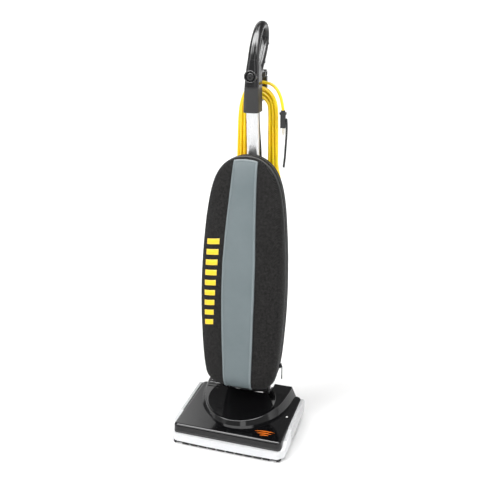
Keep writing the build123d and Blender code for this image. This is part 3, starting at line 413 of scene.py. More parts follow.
def lathe(profile, origin, axis, count=64):
    """A turned form: profile is (distance along the axis, radius) pairs."""
    axis = np.array(axis, float)
    across = np.array((0, 0, 1.0)) if abs(axis[2]) < 0.9 else np.array((1.0, 0, 0))
    up = np.cross(axis, across)
    origin = np.array(origin, float)
    return skin([round_ring(origin + axis * d, across, up, r, r, count) for d, r in profile])


def rounded_bar(low, high, corner, segments=3):
    """A box between two corners with rounded edges, as vertices and faces."""
    made = bmesh.new()
    bmesh.ops.create_cube(made, size=1.0)
    low, high = np.array(low, float), np.array(high, float)
    for v in made.verts:
        v.co = Vector((low + high) / 2 + np.array(v.co) * (high - low))
    bmesh.ops.bevel(made, geom=made.edges[:], offset=corner, segments=segments, affect="EDGES", profile=0.5)
    made.verts.ensure_lookup_table()
    vertices = [np.array(v.co) for v in made.verts]
    faces = [tuple(v.index for v in f.verts) for f in made.faces]
    made.free()
    return vertices, faces


# ---------------------------------------------------------------- camera, light and floor
CAMERA_YAW, CAMERA_PITCH = math.radians(17.64), math.radians(20.62)


def make_camera():
    data = bpy.data.cameras.new("camera")
    data.sensor_width, data.lens = 36.0, 53.47
    data.clip_start, data.clip_end = 0.05, 100
    camera = bpy.data.objects.new("camera", data)
    camera.location = (0.5752, -1.8093, 1.2766)
    camera.rotation_euler = (math.pi / 2 - CAMERA_PITCH, 0, CAMERA_YAW)
    bpy.context.scene.collection.objects.link(camera)
    bpy.context.scene.camera = camera


def make_sun(name, place, strength, spread):
    """A broad soft source far away that lights the whole floor alike."""
    data = bpy.data.lights.new(name, "SUN")
    data.energy = strength
    data.angle = math.radians(spread)
    light = bpy.data.objects.new(name, data)
    light.location = place
    light.rotation_euler = Vector(place).to_track_quat("Z", "Y").to_euler()
    bpy.context.scene.collection.objects.link(light)


def make_sky(tree):
    """A dim room: paler near the horizon, with four soft boxes around and a bright zenith."""
    sky = Shader.on_tree(tree, "Generated")
    x, y, z = sky.axes()
    glow = sky.span(z, -0.1, 0.5, 0.75, 0.22)
    around = sky.math("ARCTAN2", x, y)
    for centre, half, low, high, power in ((-2.3, 0.32, 0.1, 0.72, 2.2), (2.75, 0.16, 0.05, 0.6, 2.4),
                                           (1.45, 0.22, 0.0, 0.8, 1.8), (-0.68, 0.36, 0.2, 0.8, 2.2)):
        offset = sky.math("ABSOLUTE", sky.math("SUBTRACT", around, centre))
        beside = sky.span(offset, half * 0.7, half, 1.0, 0.0)
        above = sky.span(z, low, low + 0.1, 0.0, 1.0)
        below = sky.span(z, high - 0.1, high, 1.0, 0.0)
        box = sky.math("MULTIPLY", sky.math("MULTIPLY", beside, above), below)
        glow = sky.math("ADD", glow, sky.math("MULTIPLY", box, power))
    zenith = sky.span(z, 0.95, 0.975, 0.0, 4.0)
    sky.link(sky.math("ADD", glow, zenith), tree.nodes["Background"].inputs["Strength"])


def make_stage():
    reach = 40.0
    mesh = bpy.data.meshes.new("floor")
    corners = [(-reach, -reach, 0), (reach, -reach, 0), (reach, reach, 0), (-reach, reach, 0)]
    mesh.from_pydata(corners, [], [(0, 1, 2, 3)])
    floor = bpy.data.objects.new("floor", mesh)
    floor.location.z = -0.0004
    bpy.context.scene.collection.objects.link(floor)
    made = Shader("floor", (0.97, 0.97, 0.97), 0.9)
    made.bsdf.inputs["Specular IOR Level"].default_value = 0.1
    mesh.materials.append(made.material)
    world = bpy.data.worlds.new("studio")
    world.use_nodes = True
    world.node_tree.nodes["Background"].inputs["Color"].default_value = (1, 1, 1, 1)
    make_sky(world.node_tree)
    bpy.context.scene.world = world
    bpy.context.scene.view_settings.view_transform = "Standard"
    make_sun("key", (-1.3, -1.5, 2.0), 1.6, 34)
    strip = bpy.data.lights.new("overhead", "AREA")
    strip.shape, strip.size, strip.size_y, strip.energy = "RECTANGLE", 3.2, 1.0, 150
    overhead = bpy.data.objects.new("overhead", strip)
    overhead.location = (0, -0.55, 2.7)
    overhead.visible_diffuse = overhead.visible_camera = False
    bpy.context.scene.collection.objects.link(overhead)
    make_sun("fill", (1.6, -0.8, 1.4), 1.0, 30)


make_camera()
make_stage()

# ---------------------------------------------------------------- CAD nodes that stay
CAD_LOOKS = {
    "inner_black": ("base_chassis", "motor_housing", "motor_end_bells", "fan_housing_inner", "fan_housing_outer",
                    "brush_end_caps", "handle_yoke", "switch_block", "exhaust_duct"),
    "rubber_black": ("soleplate", "drive_belt"),
    "housing_black": ("nozzle_cover", "motor_hood"),
    "bumper_white": ("front_bumper",),
    "trim_grey": ("side_trims",),
    "lens_clear": ("indicator_lens",),
    "steel": ("soleplate_screws", "motor_stator", "motor_bearings", "motor_shaft", "brush_axle", "wheel_axles",
              "hinge_pins", "pedal_spring", "lower_cord_hook"),
    "copper_brass": ("carbon_brushes", "armature"),
    "fan_plastic": ("fan_impeller", "motor_pulley", "brush_tube", "fill_tube"),
    "bristle": ("brush_bristles",),
    "wheel_rubber": ("rear_wheel_left", "rear_wheel_right", "front_roller_left", "front_roller_right"),
    "hose_black": ("exhaust_hose",),
    "pedal_black": ("release_pedal",),
    "aluminium_tube": ("handle_tube",),
    "sleeve_black": ("switch_housing_front", "switch_housing_back"),
    "grip_black": ("loop_grip_left", "loop_grip_right", "upper_cord_hook"),
    "switch_grey": ("switch_bezel",),
    "switch_black": ("switch_rocker",),
    "zip_black": ("zip_slider", "bag_zip_tape"),
    "blade_brass": ("plug_blades",),
    "cord_black": ("strain_relief", "plug"),
    "bag_fabric": ("bag_rear_shell", "bag_front_shell"),
    "bag_grey": ("bag_front_panel",),
    "paper": ("paper_bag",),
}
for look, members in CAD_LOOKS.items():
    for member in members:
        node = NODES[member]
        node.data.materials.clear()
        node.data.materials.append(LOOK[look])
        for polygon in node.data.polygons:
            polygon.material_index = 0


# ---------------------------------------------------------------- dust bag
# half outline seen from the front, bottom to top: x, z in millimetres
BAG_OUT = np.array([
    (0, 140), (22, 140), (44, 140.6), (64, 142.5), (80, 147.5), (92, 157), (101, 171), (106, 190), (111, 225),
    (115, 270), (118.5, 330), (120.5, 390), (120.5, 450), (118.5, 520), (115, 580), (110, 640), (103.5, 690),
    (95, 728), (84, 757), (67, 782), (44, 800), (22, 808), (0, 810),
], float)
LOW_Z, HIGH_Z, TOP_Z = 210.0, 723.0, 810.0
FACE_Y = np.array([(140, -79), (180, -80.5), (280, -78), (385, -74), (460, -68), (520, -61), (580, -51), (640, -39),
                   (708, -23), (760, -10), (810, 3)], float)


def loop_of(half):
    """A closed outline from its right half, counted from the bottom middle."""
    left = half[-2:0:-1] * (-1, 1)
    return np.vstack([half, left])


def even_loop(half, count):
    fine = smooth_line(half, count)
    fine[0, 0] = fine[-1, 0] = 0.0
    return loop_of(fine)


OUTLINE = even_loop(BAG_OUT, 121)


def zip_y(z):
    return -20 + (z - 150) * 0.092


def crease_y(z):
    return zip_y(z) - 23


def face_y(z):
    return np.interp(z, FACE_Y[:, 0], FACE_Y[:, 1])


def rear_y(z):
    return 37 + (z - 150) * 0.0385


def bag_ring(share, depth, y_from, y_to, inset=0.0, puff=None):
    """A loop of the bag: share runs from the middle (0) to the outline (1), depth from one y to another."""
    ring = []
    for x, z in OUTLINE:
        middle = np.array((0.0, min(max(z, LOW_Z), HIGH_Z)))
        reach = np.array((x, z)) - middle
        length = np.linalg.norm(reach)
        deep = inset(x) if callable(inset) else inset
        factor = share * (length - deep) / length if length > 1e-6 else share
        px, pz = middle + reach * factor
        y = y_from(pz) + (y_to(pz) - y_from(pz)) * depth
        if puff:
            y += puff(px, pz, share)
        ring.append(np.array((px, y, pz)) * MM)
    return ring


def super_shares(power, count, first=0.0):
    """(share, depth) pairs from the rim to the middle of a domed face."""
    angles = np.linspace(first, math.pi / 2, count)
    return [(math.cos(a) ** (2 / power) if a < math.pi / 2 - 1e-9 else 0.0, math.sin(a) ** (2 / power))
            for a in angles]


def slump(x, z, share):
    """Slow uneven fullness of the stuffed front, and soft puckers near its seam."""
    spot = Vector((x * 0.012, 3.1, z * 0.009))
    wave = 1.6 * noise.noise(spot) * (1 - share**3)
    angle = math.atan2(x, z - min(max(z, LOW_Z), HIGH_Z) + 1e-6) if share > 0 else 0
    along = z * 0.05 + angle * 3
    pucker = 0.5 * math.sin(along * 5.2 + 2.0 * math.sin(along * 1.7)) * max(0.0, 1 - abs(share - 0.93) / 0.12)
    return wave + pucker


def outward(piece, direction):
    """Turns an open surface so that its faces look along a direction."""
    total = sum((f.normal * f.area for f in piece.data.polygons), Vector())
    if total.dot(Vector(direction)) < 0:
        piece.data.flip_normals()
    return piece


def thicken(piece, thickness):
    made = piece.modifiers.new("cloth", "SOLIDIFY")
    made.thickness = thickness
    made.offset = -1.0
    made.use_even_offset = False
    return piece


FRONT_POWER, REAR_POWER = 3.0, 4.2
# right half of the bag's outline as angles and reaches about its two middles, for finding points on the dome
TOP_HALF = np.array([(math.atan2(x, z - HIGH_Z), math.hypot(x, z - HIGH_Z))
                     for x, z in OUTLINE[:121] if z >= HIGH_Z][::-1])
FOOT_HALF = np.array([(math.atan2(x, LOW_Z - z), math.hypot(x, LOW_Z - z))
                      for x, z in OUTLINE[:121] if z <= LOW_Z])


def dome_share(x, z):
    x = abs(x)
    if z > HIGH_Z:
        reach = np.interp(math.atan2(x, z - HIGH_Z), TOP_HALF[:, 0], TOP_HALF[:, 1])
        return math.hypot(x, z - HIGH_Z) / reach
    if z < LOW_Z:
        reach = np.interp(math.atan2(x, LOW_Z - z), FOOT_HALF[:, 0], FOOT_HALF[:, 1])
        return math.hypot(x, LOW_Z - z) / reach
    return x / np.interp(z, OUTLINE[:121, 1], OUTLINE[:121, 0])


def dome_point(x, z):
    share = min(dome_share(x, z), 1.0)
    depth = (1 - share**FRONT_POWER) ** (1 / FRONT_POWER)
    y = crease_y(z) + (face_y(z) - crease_y(z)) * depth + slump(x, z, share) * (1 if share < 1 else 0)
    return np.array((x, y, z))


def draped(rows, heights):
    """A grid of (x, z) points laid on the dome, lifted off it by each column's height."""
    grid = np.array([[dome_point(x, z) for x, z in row] for row in rows])
    along = np.gradient(grid, axis=0)
    across = np.gradient(grid, axis=1)
    normal = np.cross(across, along)
    normal /= np.linalg.norm(normal, axis=2, keepdims=True)
    normal *= -np.sign(np.sum(normal[:, :, 1]))
    lifted = grid + normal * np.array(heights)[None, :, None]
    return [list(row * MM) for row in lifted]


def make_front_shell():
    shares = super_shares(FRONT_POWER, 26, 0.1)
    rings = [bag_ring(1, 0, lambda z: zip_y(z) - 0.5, zip_y, 2.2),
             bag_ring(1, 0, lambda z: zip_y(z) - 2, zip_y, 0.5)]
    for step, inset in ((0.2, -0.5), (0.5, -1.1), (0.8, -0.4), (0.93, 0.8), (1.0, 2.6)):
        rings.append(bag_ring(1, step, lambda z: zip_y(z) - 2, lambda z: crease_y(z) + 1, inset))
    rings.append(bag_ring(1, 0, lambda z: crease_y(z) - 1, zip_y, 1.0))
    rings += [bag_ring(share, depth, crease_y, face_y, 0.0, slump) for share, depth in shares]
    shell = add_piece("front_shell", *skin(rings), "bag_fabric", "bag_door", stands_for=["bag_front_shell"])
    thicken(outward(shell, (0, -1, 0)), 3.6 * MM)
    path = bag_ring(1, 0, crease_y, zip_y, 0.4)
    piping = add_piece("front_piping", *loop_tube(path, 2.3 * MM), "piping_black", "bag_door",
                       slot="bag_fabric")
    return shell, piping


def loop_tube(path, radius, count=10):
    """A round cord along a closed loop."""
    path = np.array(path)
    ahead = np.roll(path, -1, axis=0) - np.roll(path, 1, axis=0)
    ahead /= np.linalg.norm(ahead, axis=1, keepdims=True)
    rings = []
    for centre, forward in zip(path, ahead):
        across = np.array((0, 1.0, 0)) - forward * forward[1]
        across /= np.linalg.norm(across)
        rings.append(round_ring(centre, across, np.cross(forward, across), radius, radius, count))
    return skin(rings + [rings[0]])


def make_rear_shell():
    rings = [bag_ring(1, 0, lambda z: zip_y(z) + 6.4, zip_y, 2.6),
             bag_ring(1, 0, lambda z: zip_y(z) + 8, zip_y, 1.0)]
    low = lambda z: zip_y(z) + 9
    for share, depth in super_shares(REAR_POWER, 22, 0.12):
        rings.append(bag_ring(share, depth, low, rear_y, 1.5, lambda x, z, s: 0.8 * noise.noise(
            Vector((x * 0.02, 9.0, z * 0.012))) * (1 - s**2)))
    shell = add_piece("rear_shell", *skin(rings), "bag_fabric", "handle", stands_for=["bag_rear_shell"])
    thicken(outward(shell, (0, 1, 0)), 3.4 * MM)
    for i, height in enumerate((230.0, 700.0)):
        low_y, high_y = rear_y(height) - 2, tube_front(height) - 0.1
        pad = add_piece(f"bag_pad_{i + 1}", *rounded_bar(np.array((-14, low_y, height - 18)) * MM,
                        np.array((14, high_y, height + 18)) * MM, 3 * MM), "rubber_black", "handle",
                        slot="bag_fabric")


def tube_front(z):
    return (50 + (z - 70) * 0.0385) + 0.0


def strip_boxes(path, inward, size, pitch, shift, limit_x):
    """Small blocks at an even pitch along a closed path, right of a limit, as vertices and faces."""
    path = np.vstack([path, path[:1]])
    inward = np.vstack([inward, inward[:1]])
    along = np.concatenate([[0], np.cumsum(np.linalg.norm(np.diff(path, axis=0), axis=1))])
    vertices, faces = [], []
    count = int(along[-1] / pitch)
    for i in range(count):
        at = (i + shift) / count * along[-1]
        centre = np.array([np.interp(at, along, path[:, k]) for k in range(3)])
        if centre[0] < limit_x:
            continue
        next_centre = np.array([np.interp(at + 1e-4, along, path[:, k]) for k in range(3)])
        into = np.array([np.interp(at, along, inward[:, k]) for k in range(3)])
        forward = next_centre - centre
        forward /= np.linalg.norm(forward)
        into -= forward * (into @ forward)
        into /= np.linalg.norm(into)
        side = np.cross(forward, into)
        base = len(vertices)
        for a in (-1, 1):
            for b in (-1, 1):
                for c in (-1, 1):
                    taper = 0.72 if b < 0 else 1.0
                    vertices.append(centre + forward * a * size[0] / 2 * taper + into * b * size[1] / 2
                                    + side * c * size[2] / 2 * taper)
        for quad in ((0, 1, 3, 2), (4, 6, 7, 5), (0, 4, 5, 1), (2, 3, 7, 6), (0, 2, 6, 4), (1, 5, 7, 3)):
            faces.append(tuple(base + k for k in quad))
    return vertices, faces


def hinge_room(x):
    """How much deeper the tape lies on the left, where the door turns about it."""
    return 5.0 * min(max((-x - 92) / 16, 0.0), 1.0)


def make_zip():
    tape = []
    for offset, inset in ((-0.3, 3.6), (-0.3, 1.5), (2.2, 1.5), (2.5, 1.9), (3.5, 1.9), (3.8, 1.5), (6.3, 1.5),
                          (6.3, 3.6)):
        tape.append(bag_ring(1, 0, lambda z, o=offset: zip_y(z) + o, zip_y,
                             lambda x, i=inset: i + hinge_room(x)))
    centre_path = np.array(bag_ring(1, 0, lambda z: zip_y(z) + 3, zip_y, 1.6))
    inner_path = np.array(bag_ring(1, 0, lambda z: zip_y(z) + 3, zip_y, 11.6))
    tooth = (1.35 * MM, 1.6 * MM, 3.6 * MM)
    teeth = strip_boxes(centre_path, centre_path - inner_path, tooth, 2.3 * MM, 0.25, -0.09)
    add_piece("zip_tape", *skin(tape), "zip_black", "handle", stands_for=["bag_zip_tape"])
    add_piece("zip_teeth", *teeth, "zip_teeth", "handle", slot="zip_black", weld=False)


def make_zip_slider():
    x, z = 110.2, 205.0
    y = zip_y(z) + 3

    def bar(low_x, high_x, half_y, low_z, high_z, corner):
        low = np.array((x + low_x, y - half_y, z + low_z)) * MM
        high = np.array((x + high_x, y + half_y, z + high_z)) * MM
        return rounded_bar(low, high, corner * MM)

    body = bar(-2.0, 3.6, 5.2, -6.5, 6.5, 1.5)
    bridge = bar(3.0, 6.2, 1.7, -4.5, 4.5, 1.2)
    tab = bar(5.0, 6.8, 3.6, -31, -2.5, 0.8)
    cord_end = bar(4.4, 7.4, 2.6, -43, -28, 1.3)
    add_piece("slider", *join(body, bridge, tab, cord_end), "slider_black", "bag_door", slot="steel",
              stands_for=["zip_slider"])


PANEL_HALF = np.array([(120, 39), (274, 44), (430, 46.5), (525, 46), (623, 41.5), (708, 37),
                       (840, 31.5)], float)


def panel_rows(columns, first=140.8, last=804.0):
    """Rows of (x, z) across the front panel, following the outline's ends."""
    ease_top = HIGH_Z + (last - HIGH_Z) * np.sin(np.linspace(0, math.pi / 2, 22)[1:])
    ease_foot = LOW_Z - (LOW_Z - first) * np.sin(np.linspace(0, math.pi / 2, 16)[1:])
    centres = np.concatenate([ease_foot[::-1], np.linspace(LOW_Z, HIGH_Z, 60), ease_top])
    rows = []
    for centre in centres:
        half = np.interp(centre, PANEL_HALF[:, 0], PANEL_HALF[:, 1])
        row = []
        for kind, value in columns:
            x = half * value if kind == "share" else math.copysign(half - abs(value), value)
            drop = 0.0
            if centre > HIGH_Z:
                edge = np.interp(abs(x), OUTLINE[60:121, 0][::-1], OUTLINE[60:121, 1][::-1])
                drop = -(TOP_Z - edge) * ((centre - HIGH_Z) / (TOP_Z - HIGH_Z)) ** 2
            row.append((x, centre + drop))
        rows.append(row)
    return rows


def make_panel():
    middle = [("share", s) for s in np.linspace(-0.97, 0.97, 25)]
    face = skin(draped(panel_rows(middle), [1.3] * 25), close_round=False)
    panel = add_piece("grey_panel", *face, "bag_grey", "bag_door", stands_for=["bag_front_panel"])
    thicken(outward(panel, (0, -1, 0)), 2.4 * MM)
    # the borders use the lighter grey: painted light on the raised edges
    for word, side in (("left", -1.0), ("right", 1.0)):
        profile = ((-1.2, -0.6), (-0.4, 1.6), (0.5, 2.9), (1.8, 3.3), (3.4, 3.2), (4.6, 2.7), (5.4, 1.8),
                   (5.9, 0.6))
        columns = [("edge", side * (offset + 1e-6) if offset > 0 else side * 1e-6) for offset, _ in profile]
        rows = panel_rows(columns)
        shifts = [-side * min(offset, 0) for offset, _ in profile]
        grid = draped([[(x + shift, z) for (x, z), shift in zip(row, shifts)] for row in rows],
                      [h for _, h in profile])
        border = add_piece(f"panel_border_{word}", *skin(grid, close_round=False), "panel_edge", "bag_door",
                           slot="bag_grey")
        thicken(outward(border, (0, -1, 0)), 1.2 * MM)
    edge = ((0.0, -0.4), (0.3, 1.8), (1.0, 3.0), (2.2, 3.3), (4.4, 3.2), (6.0, 2.6), (7.2, 1.7), (8.0, 0.6))
    rows = [panel_rows([("share", share)], last=804.6)[-1] for share in np.linspace(-0.97, 0.97, 25)]
    grid = draped([[(row[0][0], row[0][1] - drop) for drop, _ in edge] for row in rows], [h for _, h in edge])
    border = add_piece("panel_border_top", *skin(grid, close_round=False), "panel_edge", "bag_door",
                       slot="bag_grey")
    thicken(outward(border, (0, -1, 0)), 1.2 * MM)


def make_marks():
    """A column of slanted bars on the left of the front, a decoration with no letters."""
    grids = []
    for bar in range(9):
        share = bar / 8
        top = 588 - 29.5 * bar
        left = -97 - 4 * math.sin(share * 2.6)
        right = -58 - 14 * share
        rows = []
        for step in np.linspace(0, 1, 9):
            x = left + (right - left) * step
            rise = 7 * (step - 0.5)
            rows.append([(x, top + rise - drop) for drop in np.linspace(0, 15.5, 5)])
        grids.append(skin(draped(rows, [0.5] * 5), close_round=False))
    marks = add_piece("bag_marks", *join(*grids), "mark_yellow", "bag_door", slot="bag_fabric")
    thicken(outward(marks, (0, -1, 0)), 0.3 * MM)


def make_paper_bag():
    """The filter bag inside: a slack pillow with soft creases across its faces."""
    rings = []
    low, high = (lambda z: zip_y(z) + 14), (lambda z: face_y(z) + 24)
    creases = lambda x, z, s: 1.8 * noise.noise(Vector((x * 0.05, 4.0, z * 0.03))) * (1 - s)
    front = [bag_ring(s * 0.86, d, low, high, 0, creases) for s, d in super_shares(2.6, 14)]
    back = [bag_ring(s * 0.86, d, low, lambda z: rear_y(z) - 24, 0, creases) for s, d in super_shares(2.6, 8)]
    rings = back[::-1] + front[1:]
    bag = add_piece("filter_bag", *skin(rings), "paper", "handle", stands_for=["paper_bag"])


make_front_shell()
make_rear_shell()
make_zip()
make_zip_slider()
make_panel()
make_marks()
make_paper_bag()


# ---------------------------------------------------------------- grip, switch and hooks
LOOP = [(0, 73, 1052), (0, 78, 1074), (0, 91, 1100), (0, 110, 1123), (0, 133, 1138.5), (0, 158, 1140.5),
        (0, 176, 1128), (0, 180, 1107), (0, 172, 1084), (0, 155, 1060), (0, 132, 1034), (0, 108, 1014),
         (0, 92, 1002)]


def grip_ring(centre, ahead, width, depth, count=64):
    """A rounded-square section with a fine parting groove down its middle plane."""
    across = np.array((1.0, 0, 0))
    up = np.cross(ahead, across)
    ring = []
    for a in np.linspace(0, 2 * math.pi, count, endpoint=False):
        c, s = math.cos(a), math.sin(a)
        reach = (abs(c) ** 2.3 + abs(s) ** 2.3) ** (-1 / 2.3)
        groove = 0.45 * max(0.0, 1 - abs(c) / 0.06)
        ring.append(centre + (across * (width * reach * c) + up * ((depth * reach - groove) * s)) * MM)
    return ring


def make_grip():
    path = smooth_line(LOOP, 110) * MM
    rings = []
    for i, centre in enumerate(path):
        share = i / (len(path) - 1)
        ahead = path[min(i + 1, 109)] - path[max(i - 1, 0)]
        ahead /= np.linalg.norm(ahead)
        width = float(np.interp(share, (0, 0.06, 0.2, 0.45, 0.62, 0.85, 1),
                                (16, 14.6, 12.8, 12.2, 11.6, 11, 11)))
        depth = float(np.interp(share, (0, 0.1, 0.3, 0.5, 0.7, 1), (14.5, 12.4, 11.2, 10.8, 10.8, 10.8)))
        rings.append(grip_ring(centre, ahead, width, depth))
    add_piece("loop_grip", *skin(rings, cap_first=True, cap_last=True), "grip_black", "handle",
              stands_for=["loop_grip_left", "loop_grip_right"])
    screws = []
    for x, y, z in ((0, 121, 1131), (0, 176, 1092), (0, 142, 1046)):
        for side in (-1, 1):
            profile = ((9.0, 0.0), (12.4, 3.4), (12.9, 3.2), (13.1, 2.2), (12.4, 1.9), (12.2, 0.0))
            turned = [(d * MM, r * MM) for d, r in profile]
            screws.append(lathe(turned, (x, y * MM, z * MM), (side, 0, 0), 24))
    add_piece("grip_screws", *join(*screws), "steel_dark", "handle", slot="steel")


def make_switch():
    """A raised ring with a bright lip, and the domed rocker inside it."""
    tilt = math.radians(3.5)
    axis = (0, -math.cos(tilt), math.sin(tilt))
    origin = np.array((0, 46.6, 1017)) * MM
    ring = ((-3, 17.2), (1.2, 17.4), (3.0, 17.0), (4.2, 16.1), (4.8, 15.0), (4.7, 14.2), (3.9, 13.4), (2.4, 12.8),
            (0.8, 12.4), (0.6, 11.4), (-4, 11.3))
    turned = [(d * MM, r * MM) for d, r in ring]
    add_piece("switch_ring", *lathe(turned, origin, axis, 96), "ring_black", "handle",
              slot="switch_grey", stands_for=["switch_bezel"])
    dome = [(-3, 10.6), (2.3, 10.6), (3.3, 10.1), (4.3, 8.6), (5.0, 6.4), (5.2, 4.2), (4.7, 2.6), (4.5, 1.0),
            (4.5, 0)]
    add_piece("rocker", *lathe([(d * MM, r * MM) for d, r in dome], origin, axis, 64), "ring_black", "switch",
              slot="switch_black", stands_for=["switch_rocker"])


# ---------------------------------------------------------------- base details
def make_hose():
    """The exhaust bellows, drawn in one fixed bend, and the moulded boot that it plugs into."""
    path = smooth_line([(0, 44, 56), (0, 44, 66), (0, 42.5, 76), (0, 37, 87), (0, 28, 98), (0, 22, 108),
                        (0, 19, 118)],
                       120) * MM
    rings = []
    for i, centre in enumerate(path):
        ahead = path[min(i + 1, 119)] - path[max(i - 1, 0)]
        ahead /= np.linalg.norm(ahead)
        share = i / 119
        wave = math.cos(share * 2 * math.pi * 11)
        radius = 15.0 if share < 0.07 or share > 0.96 else 15.1 + 1.9 * math.copysign(abs(wave) ** 0.6, wave)
        across = np.array((1.0, 0, 0))
        rings.append(round_ring(centre, across, np.cross(ahead, across), radius * MM, radius * MM, 40))
    hose = add_piece("bellows", *skin(rings), "hose_black", None, stands_for=["exhaust_hose"])
    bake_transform(hose)
    profile = ((90, 31, 38, 8), (83.5, 31, 46, 10), (83, 31, 54, 11), (87, 29, 59, 14), (98, 24, 61, 21),
               (110, 19, 61, 27), (126, 13, 61, 35), (138, 9, 62, 42), (142, 5, 63, 44))
    boot_rings = [[np.array((half * math.cos(a), y + depth * math.sin(a), z)) * MM
                   for a in np.linspace(0, 2 * math.pi, 72, endpoint=False)] for z, y, half, depth in profile]
    add_piece("bag_boot", *skin(boot_rings), "inner_black", "handle")


def make_pedal_spring():
    """The coil under the pedal, at its resting length."""
    foot, turns = 9.9, 6
    top = 43.4
    path = [np.array((-89 + 5 * math.cos(a), 56 + 5 * math.sin(a), foot + 0.7 + (top - foot - 1.4) * a
                      / (2 * math.pi * turns))) * MM for a in np.linspace(0, 2 * math.pi * turns, 220)]
    rings = []
    for i, centre in enumerate(path):
        ahead = path[min(i + 1, 219)] - path[max(i - 1, 0)]
        ahead /= np.linalg.norm(ahead)
        out = np.array((centre[0] + 0.089, centre[1] - 0.056, 0.0))
        out /= np.linalg.norm(out)
        rings.append(round_ring(centre, out, np.cross(ahead, out), 0.65 * MM, 0.65 * MM, 10))
    spring = add_piece("return_spring", *skin(rings, cap_first=True, cap_last=True), "steel", "base",
                       stands_for=["pedal_spring"])
    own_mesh(spring)


def make_grommet():
    """Where the switch lead goes into the bag's foot."""
    profile = ((-5, 3.4), (-5, 7.5), (-3.5, 8.6), (3, 8.4), (6, 6.2), (9, 4.6), (9, 3.4))
    add_piece("lead_grommet", *lathe([(d * MM, r * MM) for d, r in profile], np.array((21.5, 68, 185)) * MM,
                                     (0.02, 0.08, 0.996), 32), "rubber_black", "handle", slot="rubber_black")


def make_wheels():
    """Rear wheels with a ribbed tyre and a dished hub."""
    for word, side in (("left", -1), ("right", 1)):
        centre = np.array((side * 118, 52, 24)) * MM
        count = 96
        profile = ((-11, 9.0), (-11, 18.5), (-10.2, 21.0), (-8.6, 23.0), (-6.2, 23.9), (0, 24.0), (6.2, 23.9),
                   (8.6, 23.0), (10.2, 21.0), (11, 18.5), (11, 15.6), (9.6, 15.0), (8.4, 14.2), (8.2, 9.0), (10.6, 8.2),
                   (10.9, 4.4))
        rings = []
        for d, r in profile:
            ring = []
            for k in range(count):
                angle = 2 * math.pi * k / count
                cut = 0.55 if abs(d) <= 8.7 and r > 22 and k % 4 in (0,) else 0.0
                spoke = r - cut
                point = np.array((side * d, spoke * math.cos(angle), spoke * math.sin(angle)))
                ring.append(centre + point * MM)
            rings.append(ring)
        rings.append([centre + np.array((side * -11, 4.4 * math.cos(a), 4.4 * math.sin(a))) * MM
                      for a in 2 * np.pi * np.arange(count) / count])
        wheel = add_piece(f"wheel_{word}", *skin(rings + [rings[0]]), "wheel_rubber", f"rear_wheel_{word}",
                          stands_for=[f"rear_wheel_{word}"])
        sharpen(wheel, 50)


def make_orange_mark():
    """Three tapered dashes on the cover, a decoration with no letters."""
    strips = []
    for x0, x1, y in ((74, 132, -141), (82, 126, -150), (92, 118, -158.5)):
        count = 15
        low, high = [], []
        for i in range(count):
            share = i / (count - 1)
            half = 2.3 * math.sin(math.pi * min(1.0, share * 1.02)) ** 0.7 + 0.15
            x = x0 + (x1 - x0) * share
            middle = y + 2.5 * math.sin(share * math.pi) + (share - 0.5) * 4
            low.append(np.array((x, middle - half, 62.25)) * MM)
            high.append(np.array((x, middle + half, 62.25)) * MM)
        strips.append(skin([low, high], close_round=False))
    mark = add_piece("cover_mark", *join(*strips), "mark_orange", "base", slot="housing_black")
    outward(mark, (0, 0, 1))


make_grip()
make_switch()
make_hose()
make_pedal_spring()
make_grommet()
make_wheels()
make_orange_mark()


# ---------------------------------------------------------------- cords
CORD_D, LEAD_D = 8.2 * MM, 6.5 * MM


def cord_curve(name, points, diameter, look):
    """One open NURBS spline, smooth through its bends, as a round cord."""
    data = bpy.data.curves.new(name, "CURVE")
    data.dimensions = "3D"
    spline = data.splines.new("NURBS")
    spline.points.add(len(points) - 1)
    for target, point in zip(spline.points, points):
        target.co = (*(c * MM for c in point), 1)
    spline.order_u = 3
    spline.use_endpoint_u = True
    spline.resolution_u = 8
    data.bevel_depth = diameter / 2
    data.bevel_resolution = 4
    data.use_fill_caps = True
    data.materials.append(LOOK[look])
    cord = bpy.data.objects.new(name, data)
    bpy.context.scene.collection.objects.link(cord)
    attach(cord, "handle")
    return cord


# millimetres, as in part.py
LEAD_IN = [(0, 89, 890), (0, 89, 866), (0.5, 93, 834), (2.5, 97, 795), (10, 100, 748), (20, 103.5, 706),
           (29, 107.5, 668), (33, 110, 636), (35.5, 108.6, 590)]
LEAD_OUT = [(25, 109.5, 995), (43, 106, 991.5), (57, 101.5, 981), (67.5, 98, 965), (74.5, 94.8, 946),
            (78, 93.5, 925)]
# each turn's cell in the bundle: layers out from the hooks, and rows back from the tube
TURNS = [(0, 0), (0, 1), (0, 2), (1, 2), (1, 1), (1, 0), (2, 0), (2, 1), (3, 1)]
LAYER, ROW = 8.9, 8.35
RIGHT_X, LEFT_X, FRONT_ROW_Y = 36.0, -25.0, 108.6
CROWN_Z, HEEL_Z, CROWN_STEP = 957.5, 461.0, 11.6
TALL, FOOT_DEPTH = 1.2, 33.0  # how much taller than wide the upper loops are, and the lower loops' depth


def loop_half(layer):
    return (RIGHT_X - LEFT_X) / 2 + LAYER * layer


def hank_column(side, cell, z):
    """A strand's place in the left or right column, which bows outwards between the hooks."""
    layer, row = cell
    swell = math.sin(math.pi * min(max((z - HEEL_Z) / (CROWN_Z - HEEL_Z), 0), 1))
    bow = (0.8 + 1.4 * layer) * swell
    lean = 1.3 * math.sin(z / 83 + 2.1 * layer + side) * swell
    sway = 1.1 * math.sin(z / 57 + 1.3 * row + 0.9 * layer) * swell * min(layer, 1)
    x = RIGHT_X + LAYER * layer + bow + sway if side > 0 else LEFT_X - LAYER * layer - bow + sway
    return (x, FRONT_ROW_Y + ROW * row + lean, z)


